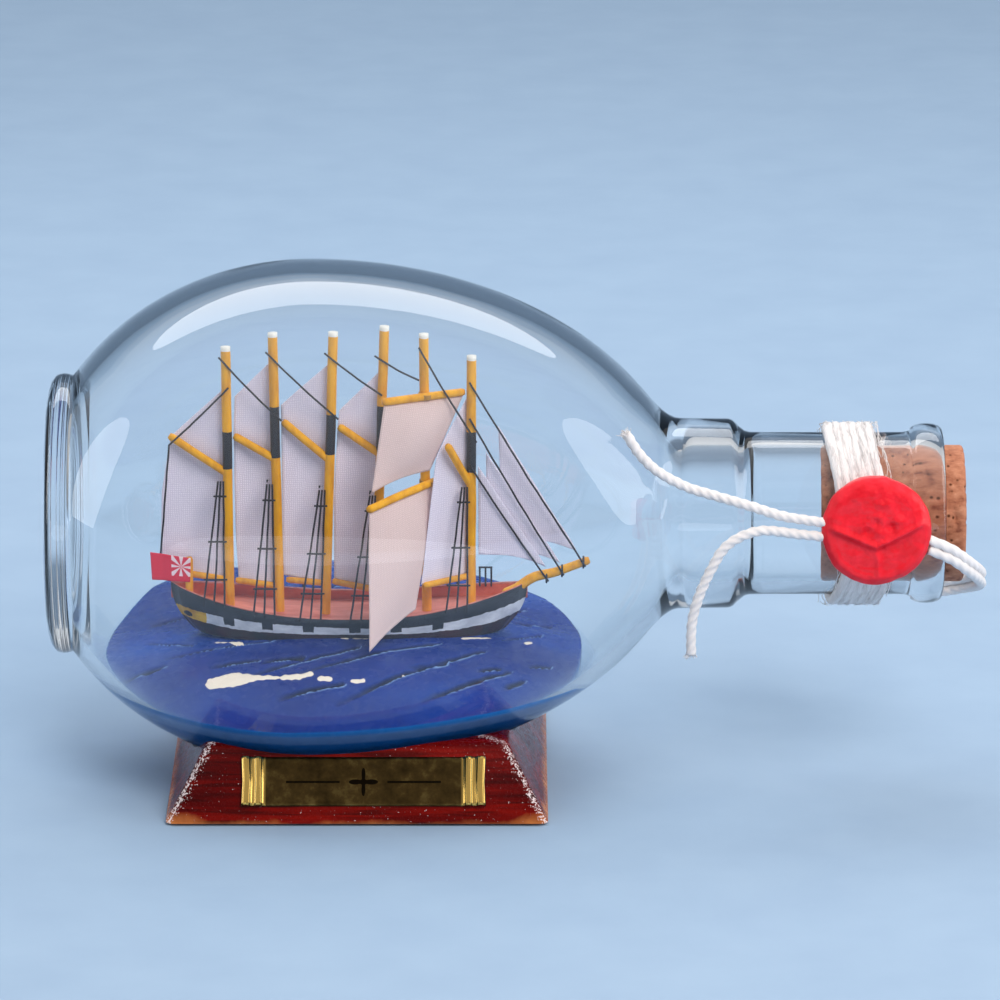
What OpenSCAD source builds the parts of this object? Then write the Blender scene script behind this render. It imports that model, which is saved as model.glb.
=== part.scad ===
// Ship in a bottle: a sealed glass bottle lying in a small wooden stand, with a six-masted
// model ship set in a bed of putty inside it.
// Origin: middle of the stand's underside. +X runs to the bottle's neck, +Z is up, and the
// front with the name plate faces -Y. Heights marked "from the axis" are measured from the
// bottle's centre line, and heights marked "above the deck" from the deck amidships.

/* [Bottle] */
// Diameter of the glass body at its widest
body_d = 86.6; // [72:0.2:104]
// Length of the blunt end, from the widest place to where its curve would close
blunt_l = 48.2; // [40:0.2:58]
// Length of the pointed end, from the widest place to where its curve would close
point_l = 64.5; // [56:0.5:78]
// Thickness of the glass
glass_t = 2.4; // [1.5:0.1:3.2]
// Diameter of the neck
neck_d = 27.6; // [24:0.2:34]
// Diameter of the bore in the neck
bore_d = 23.4; // [18:0.2:23.8]
// Length of the neck and its lip, from the collar
neck_l = 34.7; // [30:0.1:44]
// Diameter of the collar at the foot of the neck
collar_d = 32.4; // [31:0.2:38]
// Length of the collar
collar_l = 10; // [6:0.5:14]

/* [Cork and cord] */
// Length of the cork
cork_l = 24.7; // [18:0.1:32]
// How far the cork stands out of the lip
cork_out = 3.6; // [2:0.1:6]
// Diameter of the cotton cord
cord_d = 1.6; // [1.2:0.1:2]
// Turns of cord round the neck
neck_turns = 6; // [4:1:7]
// Diameter of the wax seal
seal_d = 18.3; // [14:0.1:20]
// Thickness of the wax over the cord
seal_t = 4; // [2.5:0.1:6]

/* [Stand] */
// Length of the stand at its foot
stand_l = 64.4; // [54:0.2:80]
// Depth of the stand at its foot, front to back
stand_w = 65; // [56:0.5:80]
// Height of the stand
stand_h = 12.4; // [10:0.1:16]
// How far each side leans in for each millimetre of height
stand_lean = 0.565; // [0.3:0.005:0.7]
// Wood left under the bottle
stand_floor = 1.7; // [1:0.1:4]
// Length of the name plate
plate_l = 40.7; // [30:0.1:46]
// Height of the name plate
plate_h = 8.4; // [5:0.1:9]

/* [Ship] */
// Length of the hull
hull_l = 60; // [48:0.5:72]
// Breadth of the hull
beam = 16.4; // [12:0.1:20]
// Depth of the putty under the hull
putty_h = 21.7; // [17:0.1:24]
// Room left between the tallest mast and the glass
mast_room = 8.3; // [4:0.1:14]
// Diameter of the masts
mast_d = 1.65; // [1.2:0.05:2.2]
// Diameter of the gaffs and yards
gaff_d = 1.35; // [1:0.05:1.6]
// Diameter of the booms
boom_d = 1.1; // [0.8:0.05:1.3]
// Diameter of the bowsprit
bowsprit_d = 1.6; // [1.2:0.05:2.2]
// Thickness of the sailcloth
sail_t = 0.25; // [0.15:0.01:0.4]
// Diameter of the rigging thread
thread_d = 0.36; // [0.25:0.01:0.5]

/* [Hidden] */

// Bottle, from the axis
seat_gap = 0.3;
axis_z = stand_floor + seat_gap + body_d / 2;
widest_x = -8;
body_r = body_d / 2;
inner_r = body_r - glass_t;
foot_x = widest_x - blunt_l + 3.7;
foot_r = 0.55 * body_r;
foot_ring = 3.6;
shoulder_x = widest_x + 0.853 * point_l;
collar_x = shoulder_x + 7.4;
neck_x = collar_x + collar_l;
lip_l = 5.6;
lip_d = neck_d + 3;
mouth_x = neck_x + neck_l;
bore_x = collar_x + 2.6;
floor_x = foot_x + 4;

function ellipse(front, r, deg) =
    [r * sin(deg), widest_x - (deg < 90 ? blunt_front(front) : point_front(front)) * cos(deg)];
function blunt_front(t) = blunt_l - t;
function point_front(t) = point_l - t;
function radius_at(x, t) =
    let (a = x < widest_x ? blunt_l - t : point_l - t)
    (body_r - t) * sqrt(max(0, 1 - pow((x - widest_x) / a, 2)));
function angle_at(x, t) =
    let (a = x < widest_x ? blunt_l - t : point_l - t) acos((widest_x - x) / a);
// A smooth curve between two places on the outline, each with its own slope
function bridge(x0, r0, s0, x1, r1, s1, t) =
    let (w = x1 - x0)
    [(2 * t * t * t - 3 * t * t + 1) * r0 + (t * t * t - 2 * t * t + t) * w * s0
     + (3 * t * t - 2 * t * t * t) * r1 + (t * t * t - t * t) * w * s1, x0 + t * w];
function slope_at(x, t) = (radius_at(x + 0.1, t) - radius_at(x - 0.1, t)) / 0.2;

inner_shoulder_x = shoulder_x - 3;
arc_steps = 16;
foot_deg = angle_at(foot_x + foot_ring + 0.4, 0);
point_deg = angle_at(shoulder_x, 0);
floor_deg = angle_at(floor_x + 1.2, glass_t);
inner_deg = angle_at(inner_shoulder_x, glass_t);

function outer_line(grow) = concat(
    [[0, foot_x + 1.2 - grow], [foot_r * 0.6, foot_x + 1 - grow], [foot_r * 0.76, foot_x - grow],
     [foot_r * 0.9, foot_x - grow], [foot_r * 0.97 + grow, foot_x + 0.9 - grow / 2],
     [foot_r + grow, foot_x + 2.4]],
    [for (i = [0:arc_steps]) let (d = foot_deg + (90 - foot_deg) * i / arc_steps)
        [(body_r + grow) * sin(d), widest_x - (blunt_l + grow) * cos(d)]],
    [for (i = [1:arc_steps]) let (d = 90 + (point_deg - 90) * i / arc_steps)
        [(body_r + grow) * sin(d), widest_x - (point_l + grow) * cos(d)]],
    [for (i = [1:6]) bridge(shoulder_x, radius_at(shoulder_x, 0) + grow,
        slope_at(shoulder_x, 0), collar_x, collar_d / 2 + grow, -0.08, i / 6)],
    [[collar_d / 2 + grow, neck_x - 1.2], [collar_d / 2 - 0.5 + grow, neck_x - 0.3],
     [neck_d / 2 + 0.5 + grow, neck_x + 0.8], [neck_d / 2 + grow, neck_x + 1.8],
     [neck_d / 2 + grow, mouth_x - lip_l - 0.7], [neck_d / 2 + 0.5 + grow, mouth_x - lip_l],
     [lip_d / 2 - 0.2 + grow, mouth_x - lip_l + 1], [lip_d / 2 + grow, mouth_x - lip_l + 2],
     [lip_d / 2 + grow, mouth_x - 1.6], [lip_d / 2 - 0.4 + grow, mouth_x - 0.5],
     [lip_d / 2 - 1.2 + grow, mouth_x + grow]]);
inner_line = concat(
    [[bore_d / 2, mouth_x], [bore_d / 2, bore_x]],
    [for (i = [5:-1:0]) bridge(inner_shoulder_x, radius_at(inner_shoulder_x, glass_t),
        slope_at(inner_shoulder_x, glass_t), bore_x, bore_d / 2, 0, i / 6)],
    [for (i = [arc_steps - 1:-1:0]) let (d = 90 + (inner_deg - 90) * i / arc_steps)
        [inner_r * sin(d), widest_x - (point_l - glass_t) * cos(d)]],
    [for (i = [arc_steps - 1:-1:0]) let (d = floor_deg + (90 - floor_deg) * i / arc_steps)
        [inner_r * sin(d), widest_x - (blunt_l - glass_t) * cos(d)]],
    [[radius_at(floor_x + 1.2, glass_t) - 1.6, floor_x], [0, floor_x - 0.3]]);

module along_axis() translate([0, 0, axis_z]) rotate([0, 90, 0]) children();
module bottle_room() along_axis() rotate_extrude() polygon(concat(inner_line, [[0, mouth_x]]));

// Ship, from the axis
rig_ref = 50.6;
hull_ref = 60;
hull_mid = -1.8;
putty_top = -inner_r + putty_h;
draught = 1.4;
keel_z = putty_top - draught;
water_z = putty_top + 0.6;
deck_mid = putty_top + 1.2;
rail_mid = deck_mid + 1.65;
sheer = 4;
deck_sheer = 3.2;
mast_r = mast_d / 2;
rig_k = (inner_r - mast_room - deck_mid) / rig_ref;
hull_k = hull_l / hull_ref;
stations = 26;
stern_full = 3.4;
bow_full = 2.8;
rail_t = 0.55;
deck_t = 0.4;
end_share = 0.985;

function ship_x(x) = hull_mid + (x - hull_mid) * hull_k;
function ship_z(h) = axis_z + deck_mid + h * rig_k;
function reach(x) = (x - hull_mid) / (hull_l / 2);
function half_beam(x) = let (u = reach(x))
    beam / 2 * (1 - pow(abs(u), u < 0 ? stern_full : bow_full)) + 0.6;
function rail_z(x) = axis_z + rail_mid + sheer * pow(reach(x), 2);
function deck_z(x) = axis_z + deck_mid + deck_sheer * pow(reach(x), 2);
function station_x(i) = hull_mid - hull_l / 2 * end_share * cos(180 * i / stations);

// Feet and heads of the masts along the ship, and the heads' heights above the deck
mast_foot = [-22.1, -13.6, -5.8, 2.7, 11.4, 18.9];
mast_head = [-22.3, -14.4, -4.2, 4.4, 11, 19];
mast_height = [47.1, 49.5, 49.6, 50.6, 49.3, 45.5];
mast_step = 0.3;
function mast_x(i, h) =
    ship_x(mast_foot[i - 1] + (mast_head[i - 1] - mast_foot[i - 1]) * h / mast_height[i - 1]);

// Fore-and-aft sails: outlines along the ship and above the deck
spanker = [[-22.2, 40.1], [-31.8, 31.1], [-33.5, 21.4], [-33.8, 11.5], [-33, 7.6], [-22.6, 6.1]];
sail_2_line = [[-14.6, 44.5], [-20.9, 38.2], [-21.2, 31.6], [-21, 15], [-20.6, 5.8], [-14, 4.9]];
sail_3_line = [[-4.9, 44], [-13.1, 36.7], [-13.1, 34.1], [-12.9, 25], [-12.9, 6.7], [-6, 5.4]];
sail_4_line = [[3.9, 43], [-3.3, 35.7], [-3.6, 33.1], [-4.3, 19.9], [-4.3, 5.7], [2.4, 4.4]];
// Mast 6's sail: distance aft of the mast and height above the deck
sail_6_line = [[0, 38.3], [-6, 28.8], [-8, 18], [-10.2, 7], [0, 6.8]];
fore_swing = 40;

// Gaffs and booms: outer end and height at the mast
gaff_tip = [[-32, 31.6], [-21.1, 31.6], [-12.8, 34.1], [-3.4, 33.2], [], [-5.1, 30.8]];
gaff_jaw = [24.9, 27.4, 27.2, 28.3, 0, 22.9];
boom_tip = [[-29.4, 7.2], [-21.1, 6], [-12.5, 6.1], [-4.6, 5.8], [], [-10.2, 7]];
boom_jaw = [6, 4.9, 5.4, 4.2, 0, 6.8];
bowsprit_heel = [24.4, 3.3];
bowsprit_tip = [39.1, 9.3];

// Yards on mast 5: length each side of the mast, height, and how far they are braced round
upper_yard_h = 38.8;
upper_yard_arms = [7.3, 7];
upper_yard_yaw = 15;
lower_yard_h = 23.5;
lower_yard_arms = [13, 2.4];
lower_yard_yaw = 43;
yard_rise = 0.6;
lower_yard_rise = 1.4;

// Free corners of the square sails: along the ship, across it, and above the deck
topsail_foot = [[2.2, -7.4, 23.6], [12, -1.6, 26]];
course_foot = [[1.9, -16.8, -1.4], [9.6, -8.2, 3.4]];

// Stays: the mast and height each starts at, the mast and height it ends at, how far it runs
// past that mast, and how far in front of the masts it is led to clear a yard
stay_list = [[1, 44.2, 2, 35.7, 1.7, 0], [2, 45.2, 3, 35.9, 1.7, 0], [3, 45.2, 4, 38.9, 0, 0],
             [4, 44.9, 5, 41, -1, 0], [5, 45.8, 6, 32.3, 1.7, 0.6]];
stay_start = 1.7;
// Headstays: height on mast 6, and how far along the bowsprit each lands
headstay_list = [[40.6, 0.93], [34.3, 0.68], [26.3, 0.5]];
jib_list = [[[20.1, 26.5], [31.6, 8.6], [20.2, 10.8]],
            [[21.4, 28.8], [34, 9.2], [21.7, 11.7]],
            [[23.5, 33.2], [36.9, 11.1], [24.2, 13.2]]];
shroud_top = [24, 23.5, 22.5, 21.5, 0, 23];
shroud_bars = [0.22, 0.52, 0.88];
shroud_spread = 3.6;
shroud_rake = -2.4;

// Flag and staff
staff_x = -28.9;
staff_y = -1.5;
staff_d = 1.3;
staff_top = 10.6;
flag_t = 0.2;
flag_line = [[-35.4, 11.8], [-28.6, 10.6], [-28.7, 6.4], [-35.2, 6.9]];

// Cord tails and the bridle over the cork: along the bottle, across it, and from the axis
upper_tail = [[80.5, -16.2, 2.7], [75, -16.6, 3.6], [71, -16.8, 4.4], [65, -17, 6.4],
              [59.5, -16.1, 7.8], [55, -15.8, 9.2], [50.3, -17, 12.2], [47.4, -18, 15.3],
              [45, -18.8, 19.2]];
lower_tail = [[80.5, -16.2, 0.3], [74, -17, 1.2], [68.5, -17.6, 2], [64.9, -18.1, 1.3],
              [61.7, -18.3, -0.8], [59.5, -18.3, -4.5], [57.5, -18.1, -9.2],
              [56.3, -17.7, -14.1], [56.2, -17.3, -19.8]];
bridle = [[96, -16.5, 0.1], [99.8, -15.6, -1.8], [103.2, -12.5, -5], [105.2, -7, -8],
          [106, 0, -10.8], [105.2, 7, -13.4], [102.4, 11.2, -15.2], [99.5, 12.2, -15.6],
          [95, 11.8, -13], [90, 11.6, -11.6]];
strand_drop = 2.3;
cord_sides = 8;
ring_gap = 2.4;

// Places along a smooth curve through the points
function curve(p, t) =
    let (n = len(p) - 1, k = min(floor(t), n - 1), f = t - k,
         a = p[max(k - 1, 0)], b = p[k], c = p[k + 1], d = p[min(k + 2, n)])
    0.5 * (2 * b + (c - a) * f + (2 * a - 5 * b + 4 * c - d) * f * f
           + (3 * b - a - 3 * c + d) * f * f * f);
function run(p, i = 0) = i >= len(p) - 1 ? 0 : norm(p[i + 1] - p[i]) + run(p, i + 1);
function unit(v) = v / norm(v);
function ring(p, t, across, d, turn) =
    let (at = curve(p, t), dir = unit(curve(p, min(t + 0.02, len(p) - 1))
                                      - curve(p, max(t - 0.02, 0))),
         side = unit(cross(dir, across)), top = cross(side, dir))
    [for (i = [0:cord_sides - 1]) let (a = 360 * i / cord_sides + turn)
        at + d / 2 * (cos(a) * side + sin(a) * top)];

module cord(p, across, d) {
    rings = ceil(run(p) / (ring_gap * d));
    step = (len(p) - 1) / rings;
    n = cord_sides;
    skin = [for (k = [0:rings]) each ring(p, k * step, across, d, 0)];
    polyhedron(skin, skin_faces(rings, n), convexity = 6);
}

// Two triangles for each step along and round a skin of n-sided rings, and its two flat ends
function skin_faces(last, n) = concat(
    [for (k = [0:last - 1], i = [0:n - 1]) [k * n + i, (k + 1) * n + i, (k + 1) * n + (i + 1) % n]],
    [for (k = [0:last - 1], i = [0:n - 1]) [k * n + i, (k + 1) * n + (i + 1) % n, k * n + (i + 1) % n]],
    [[for (i = [0:n - 1]) i], [for (i = [n - 1:-1:0]) last * n + i]]);

// A round rod between two places
module rod(a, b, d) {
    v = b - a;
    translate(a) rotate([0, acos(v.z / norm(v)), atan2(v.y, v.x)])
        cylinder(h = norm(v), d = d, $fn = 32);
}

// ---- Stand ----

module stand_shape() {
    lean = stand_lean * stand_h;
    foot_edge = 0.6;
    intersection() {
        translate([0, stand_w, 0]) rotate([90, 0, 0]) linear_extrude(2 * stand_w)
            polygon([[-stand_l / 2, 0], [stand_l / 2, 0], [stand_l / 2, foot_edge],
                [stand_l / 2 - lean, stand_h], [-stand_l / 2 + lean, stand_h],
                [-stand_l / 2, foot_edge]]);
        translate([-stand_l, 0, 0]) rotate([90, 0, 90]) linear_extrude(2 * stand_l)
            polygon([[-stand_w / 2, 0], [stand_w / 2, 0], [stand_w / 2, foot_edge],
                [stand_w / 2 - lean, stand_h], [-stand_w / 2 + lean, stand_h],
                [-stand_w / 2, foot_edge]]);
    }
}

module stand_block() {
    color("#5f140b") difference() {
        stand_shape();
        along_axis() rotate_extrude() polygon(concat(outer_line(seat_gap), [[0, mouth_x]]));
    }
}

// The plate lies on the front slope, with its ends rolled outwards
plate_x = 1.1;
plate_t = 0.5;
plate_up = 2.9;
roll_d = 1.9;
slope_deg = atan2(stand_h - 0.6, stand_lean * stand_h);

module on_front_slope() translate([plate_x, -stand_w / 2, 0.6]) rotate([slope_deg, 0, 0])
    children();

module name_plate() {
    color("#9a8a4a") difference() {
        on_front_slope() union() {
            translate([-plate_l / 2, plate_up, 0]) cube([plate_l, plate_h, plate_t]);
            for (side = [-1, 1]) for (in = [0.5, 1.7])
                translate([side * (plate_l / 2 - in * roll_d), plate_up, plate_t * 0.6])
                    rotate([-90, 0, 0]) intersection() {
                        cylinder(h = plate_h, d = roll_d, $fn = 40);
                        translate([-roll_d, -roll_d, 0]) cube([2 * roll_d, roll_d, plate_h]);
                    }
        }
        // Clears the glass where a wide bottle comes down over the slope
        along_axis() rotate_extrude() polygon(concat(outer_line(seat_gap), [[0, mouth_x]]));
    }
}

// ---- Bottle, cork, cord and wax ----

module bottle_glass() {
    color("#cfe4ee", 0.35) along_axis() rotate_extrude()
        polygon(concat(outer_line(0), [[bore_d / 2 + 0.5, mouth_x]], inner_line));
}

module cork() {
    edge = 0.5;
    color("#bd8453") along_axis() rotate_extrude() polygon([
        [0, mouth_x + cork_out - cork_l], [bore_d / 2 - edge, mouth_x + cork_out - cork_l],
        [bore_d / 2, mouth_x + cork_out - cork_l + edge], [bore_d / 2, mouth_x + cork_out - edge],
        [bore_d / 2 - edge, mouth_x + cork_out], [0, mouth_x + cork_out]]);
}

wrap_end_x = mouth_x - 9.6;
wrap_r = neck_d / 2 + cord_d / 2;
seal_x = mouth_x - 12;
seal_up = 0.4;
seal_tilt = 10;
seal_bed_r = neck_d / 2 + cord_d;

module neck_string_wraps() {
    color("#f2ecee") along_axis() for (i = [0:neck_turns - 1])
        translate([0, 0, wrap_end_x - cord_d * (i + 0.5)])
            rotate_extrude() translate([wrap_r, 0]) circle(d = cord_d, $fn = 24);
}

module wax_seal() {
    color("#d92436") difference() {
        translate([seal_x, -seal_bed_r + 6, axis_z + seal_up]) rotate([90 - seal_tilt, 0, 0])
            union() {
                cylinder(h = seal_t + 5, d = seal_d, $fn = 64);
                cylinder(h = seal_t + 6, d = seal_d - 2.4, $fn = 64);
            }
        along_axis() cylinder(h = 2 * mouth_x, r = seal_bed_r, $fn = 96);
    }
}

// Moves the places of a cord with the neck, the collar and the shoulder under it
tail_ref = [54.4, 64.4, 99.1];
function laid(p) =
    let (x = p.x < tail_ref[1] ? p.x + neck_x - tail_ref[1]
             : p.x < tail_ref[2] ? neck_x + (p.x - tail_ref[1]) * neck_l / 34.7
             : p.x + mouth_x + cork_out - tail_ref[2] - 3.6,
         k = p.x < tail_ref[0] ? body_d / 86.6 : p.x < 66 ? collar_d / 32.4 : neck_d / 27.6,
         r = norm([p.y, p.z]), out = k + 1.5 * (cord_d - 1.6) / max(r, 1))
    [x, p.y * out, p.z * out];

module cork_string() {
    color("#f2ecee") for (k = [0, 1]) translate([0, 0, axis_z - k * strand_drop])
        cord([for (p = bridle) laid(p)], [0, 0, 1], cord_d);
}
module string_tail_upper() {
    color("#f2ecee") translate([0, 0, axis_z])
        cord([for (p = upper_tail) laid(p)], [0, 1, 0], cord_d);
}
module string_tail_lower() {
    color("#f2ecee") translate([0, 0, axis_z])
        cord([for (p = lower_tail) laid(p)], [0, 1, 0], cord_d);
}

// ---- Sea ----

sea_front_x = 38.4;
sea_back_x = -44.8;
mound_r = 167;
bank_r = 50.8;
bank_deg = 45;
// The putty's outline across the bottle: level at the back, rounded down at the front
bank = concat([for (i = [0:14]) let (a = bank_deg * (1 - i / 14))
                   [-bank_r * sin(a), putty_top - bank_r * (1 - cos(a))]],
              [[body_d, putty_top], [body_d, -body_d], [-bank_r * sin(bank_deg), -body_d]]);

function water_half(x) = 0.92 * half_beam(x);
hull_plan = concat([for (i = [0:stations]) [station_x(i), -water_half(station_x(i))]],
                   [for (i = [stations:-1:0]) [station_x(i), water_half(station_x(i))]]);

module sea_putty() {
    color("#12348c") difference() {
        intersection() {
            bottle_room();
            translate([(sea_front_x + sea_back_x) / 2, 0, 0])
                cylinder(h = axis_z, r = (sea_front_x - sea_back_x) / 2, $fn = 96);
            translate([0, 0, axis_z + putty_top - mound_r]) rotate([90, 0, 0])
                cylinder(h = 2 * body_d, r = mound_r, center = true, $fn = 96);
            translate([-body_d, 0, axis_z]) rotate([90, 0, 90])
                linear_extrude(2 * body_d) polygon(bank);
        }
        translate([0, 0, axis_z + keel_z]) linear_extrude(draught + 1) polygon(hull_plan);
    }
}

// ---- Hull ----

// One cross-section: keel, side, rail, inside of the bulwark and the floor under the deck
function hull_section(x) =
    let (w = half_beam(x), f = water_half(x), k = axis_z + keel_z, m = axis_z + water_z,
         r = rail_z(x), d = deck_z(x) - deck_t, in = w - rail_t)
    [[x, -f, k], [x, f, k], [x, f, m], [x, w, r], [x, in, r], [x, in, d],
     [x, -in, d], [x, -in, r], [x, -w, r], [x, -f, m]];
function deck_section(x) =
    let (in = half_beam(x) - rail_t, d = deck_z(x))
    [[x, -in, d - deck_t], [x, in, d - deck_t], [x, in, d], [x, -in, d]];

// Closes a row of cross-sections, taken from the stern to the bow, into one solid
module loft(sections) {
    skin = [for (s = sections) each s];
    polyhedron(skin, skin_faces(len(sections) - 1, len(sections[0])), convexity = 8);
}

module ship_hull() {
    color("#24242f") loft([for (i = [0:stations]) hull_section(station_x(i))]);
}
module deck() {
    color("#b5523a") loft([for (i = [1:stations - 1]) deck_section(station_x(i))]);
}

// ---- Spars ----

module mast(i) {
    foot = ship_x(mast_foot[i - 1]);
    color("#e6a01c") rod([foot, 0, deck_z(foot) - mast_step],
        [ship_x(mast_head[i - 1]), 0, ship_z(mast_height[i - 1])], mast_d);
}

// Mast 6's gaff, boom and sail are swung towards the front
module swung(i) {
    if (i == 6) translate([mast_x(6, 20), 0, 0]) rotate([0, 0, fore_swing]) children();
    else children();
}
function spar_x(i, x) = i == 6 ? x * hull_k : ship_x(x);
function jaw_x(i, h) = i == 6 ? 0 : mast_x(i, h);

module spar(i, tip, jaw, d) {
    color("#e6a01c") difference() {
        swung(i) rod([jaw_x(i, jaw), mast_r - d / 2, ship_z(jaw)],
                     [spar_x(i, tip[0]), mast_r - d / 2, ship_z(tip[1])], d);
        mast(i);
    }
}
module gaff(i) spar(i, gaff_tip[i - 1], gaff_jaw[i - 1], gaff_d);
module boom(i) spar(i, boom_tip[i - 1], boom_jaw[i - 1], boom_d);

function yard_end(arm, yaw, h, rise) =
    [mast_x(5, h) + arm * hull_k * cos(yaw),
     -(mast_r + gaff_d / 2) / cos(yaw) + arm * hull_k * sin(yaw),
     ship_z(h) + arm * hull_k * rise / 10];
module yard(arms, yaw, h, rise) {
    color("#e6a01c") rod(yard_end(-arms[0], yaw, h, rise), yard_end(arms[1], yaw, h, rise),
        gaff_d);
}
module upper_yard() yard(upper_yard_arms, upper_yard_yaw, upper_yard_h, yard_rise);
module lower_yard() yard(lower_yard_arms, lower_yard_yaw, lower_yard_h, lower_yard_rise);

lash_t = 0.4;
lash_h = 0.9;
module lashing(h, yaw) {
    translate([mast_x(5, h), 0, ship_z(h) - lash_h / 2]) difference() {
        linear_extrude(lash_h) rotate(yaw) union() {
            circle(r = mast_r + lash_t, $fn = 32);
            translate([-gaff_d / 2, -mast_r - gaff_d - lash_t])
                square([gaff_d, mast_r + gaff_d + lash_t]);
        }
    }
}
module yard_lashings() {
    color("#b98a3c") difference() {
        union() {
            lashing(upper_yard_h, upper_yard_yaw);
            lashing(lower_yard_h, lower_yard_yaw);
        }
        mast(5);
        upper_yard();
        lower_yard();
    }
}

function bowsprit_at(t) =
    [ship_x(bowsprit_heel[0] + (bowsprit_tip[0] - bowsprit_heel[0]) * t), 0,
     ship_z(bowsprit_heel[1] + (bowsprit_tip[1] - bowsprit_heel[1]) * t) + bowsprit_lift];
bowsprit_lift = 0.35;
module bowsprit() {
    color("#e6a01c") rod(bowsprit_at(0), bowsprit_at(1), bowsprit_d);
}

// ---- Small pieces on deck ----

module fore_rail() {
    post = 0.35;
    x0 = ship_x(20.4);
    gap = 1;
    height = 3.6;
    rail_y = half_beam(x0 + 2 * gap) - rail_t / 2 - 0.2;
    foot = rail_z(x0) - 0.1;
    color("#1c1c24") translate([x0, rail_y, foot]) union() {
        for (i = [0:2]) translate([i * gap, 0, 0]) translate([-post / 2, -post / 2, 0])
            cube([post, post, height]);
        translate([-post / 2, -post / 2, height - post]) cube([2 * gap + post, post, post]);
    }
}
module flagstaff() {
    x = ship_x(staff_x);
    color("#e6a01c") translate([x, staff_y, deck_z(x) - mast_step])
        cylinder(h = ship_z(staff_top) - deck_z(x) + mast_step, d = staff_d, $fn = 32);
}
module flag() {
    shape = [for (p = flag_line) [ship_x(p[0]), ship_z(p[1])]];
    color("#e0203c") translate([0, staff_y - staff_d / 2, 0]) rotate([90, 0, 0])
        linear_extrude(flag_t) polygon(shape);
}

// ---- Sails ----

module cloth(line, y, i = 0) {
    shape = [for (p = line) [spar_x(i, p[0]), ship_z(p[1])]];
    color("#e9e6f1") swung(i) translate([0, y + sail_t, 0]) rotate([90, 0, 0])
        linear_extrude(sail_t) polygon(shape);
}
module sail_1() cloth(spanker, mast_r);
module sail_2() cloth(sail_2_line, mast_r);
module sail_3() cloth(sail_3_line, mast_r);
module sail_4() cloth(sail_4_line, mast_r);
module sail_6() cloth(sail_6_line, mast_r, 6);

// A four-cornered cloth that twists between its head and its foot
module square_sail(head, foot) {
    n = 6;
    m = 8;
    push = sail_t * unit(cross(head[1] - head[0], foot[0] - head[0]));
    function at(u, v) = let (a = head[0] + (head[1] - head[0]) * u,
        b = foot[0] + (foot[1] - foot[0]) * u) a + (b - a) * v;
    front = [for (j = [0:m], i = [0:n]) at(i / n, j / m)];
    back = [for (p = front) p + push];
    w = n + 1;
    far = w * (m + 1);
    quads = [for (j = [0:m - 1], i = [0:n - 1]) [j * w + i, j * w + i + 1, (j + 1) * w + i + 1,
        (j + 1) * w + i]];
    faces = concat(
        [for (q = quads) [q[0], q[1], q[2]]], [for (q = quads) [q[0], q[2], q[3]]],
        [for (q = quads) [far + q[2], far + q[1], far + q[0]]],
        [for (q = quads) [far + q[3], far + q[2], far + q[0]]],
        [for (i = [0:n - 1]) [i + 1, i, far + i, far + i + 1]],
        [for (i = [0:n - 1]) [m * w + i, m * w + i + 1, far + m * w + i + 1, far + m * w + i]],
        [for (j = [0:m - 1]) [j * w, (j + 1) * w, far + (j + 1) * w, far + j * w]],
        [for (j = [0:m - 1]) [(j + 1) * w + n, j * w + n, far + j * w + n,
            far + (j + 1) * w + n]]);
    color("#eeeaf0") polyhedron([for (p = concat(front, back)) p], faces, convexity = 4);
}
function ship_point(p) = [ship_x(p[0]), p[1], ship_z(p[2])];
function under_yard(arm, yaw, h, rise) =
    yard_end(arm, yaw, h, rise) - [0, 0, gaff_d / 2 + 0.02];
module topsail() square_sail(
    [under_yard(-upper_yard_arms[0] + 0.3, upper_yard_yaw, upper_yard_h, yard_rise),
     under_yard(upper_yard_arms[1] - 0.3, upper_yard_yaw, upper_yard_h, yard_rise)],
    [ship_point(topsail_foot[0]), ship_point(topsail_foot[1])]);
module course_sail() square_sail(
    [under_yard(-lower_yard_arms[0] + 0.3, lower_yard_yaw, lower_yard_h, lower_yard_rise),
     under_yard(lower_yard_arms[1] - 0.3, lower_yard_yaw, lower_yard_h, lower_yard_rise)],
    [ship_point(course_foot[0]), ship_point(course_foot[1])]);

jib_y = [0.1, 0.65, 1.2];
module jib(i) cloth(jib_list[i], -mast_r + jib_y[i]);
module jib_inner() jib(0);
module jib_middle() jib(1);
module jib_outer() jib(2);

// ---- Rigging thread ----

// Three shrouds and their crossbars on each side of a mast, drawn flat and leaned in to it
module shrouds(i) {
    top = shroud_top[i - 1];
    foot_x = mast_x(i, 0) + shroud_rake;
    top_x = mast_x(i, top) - mast_r - 0.3;
    half_foot = shroud_spread / 2 + 0.5;
    side_y = max(half_beam(foot_x - half_foot), half_beam(foot_x + half_foot)) + thread_d;
    foot_z = rail_z(foot_x) - 0.6;
    height = ship_z(top) - foot_z;
    top_y = mast_r + sail_t + thread_d;
    lean = atan2(side_y - top_y, height);
    face_h = norm([side_y - top_y, height]);
    color("#1c1c24") for (side = [-1, 1]) translate([0, side * side_y, foot_z])
        rotate([90 + side * lean, 0, 0]) translate([0, 0, -thread_d / 2])
            linear_extrude(thread_d) union() {
                for (k = [-1, 0, 1])
                    thread_2d([foot_x + k * shroud_spread / 2, 0],
                              [top_x + k * 0.45, face_h]);
                for (b = shroud_bars) let (x = foot_x + (top_x - foot_x) * b,
                    half = shroud_spread / 2 * (1 - b) + 0.45 * b + 0.5)
                    thread_2d([x - half, face_h * b], [x + half, face_h * b]);
            }
}
module thread_2d(a, b) {
    v = b - a;
    translate(a) rotate(atan2(v.y, v.x)) translate([0, -thread_d / 2])
        square([norm(v), thread_d]);
}

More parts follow.
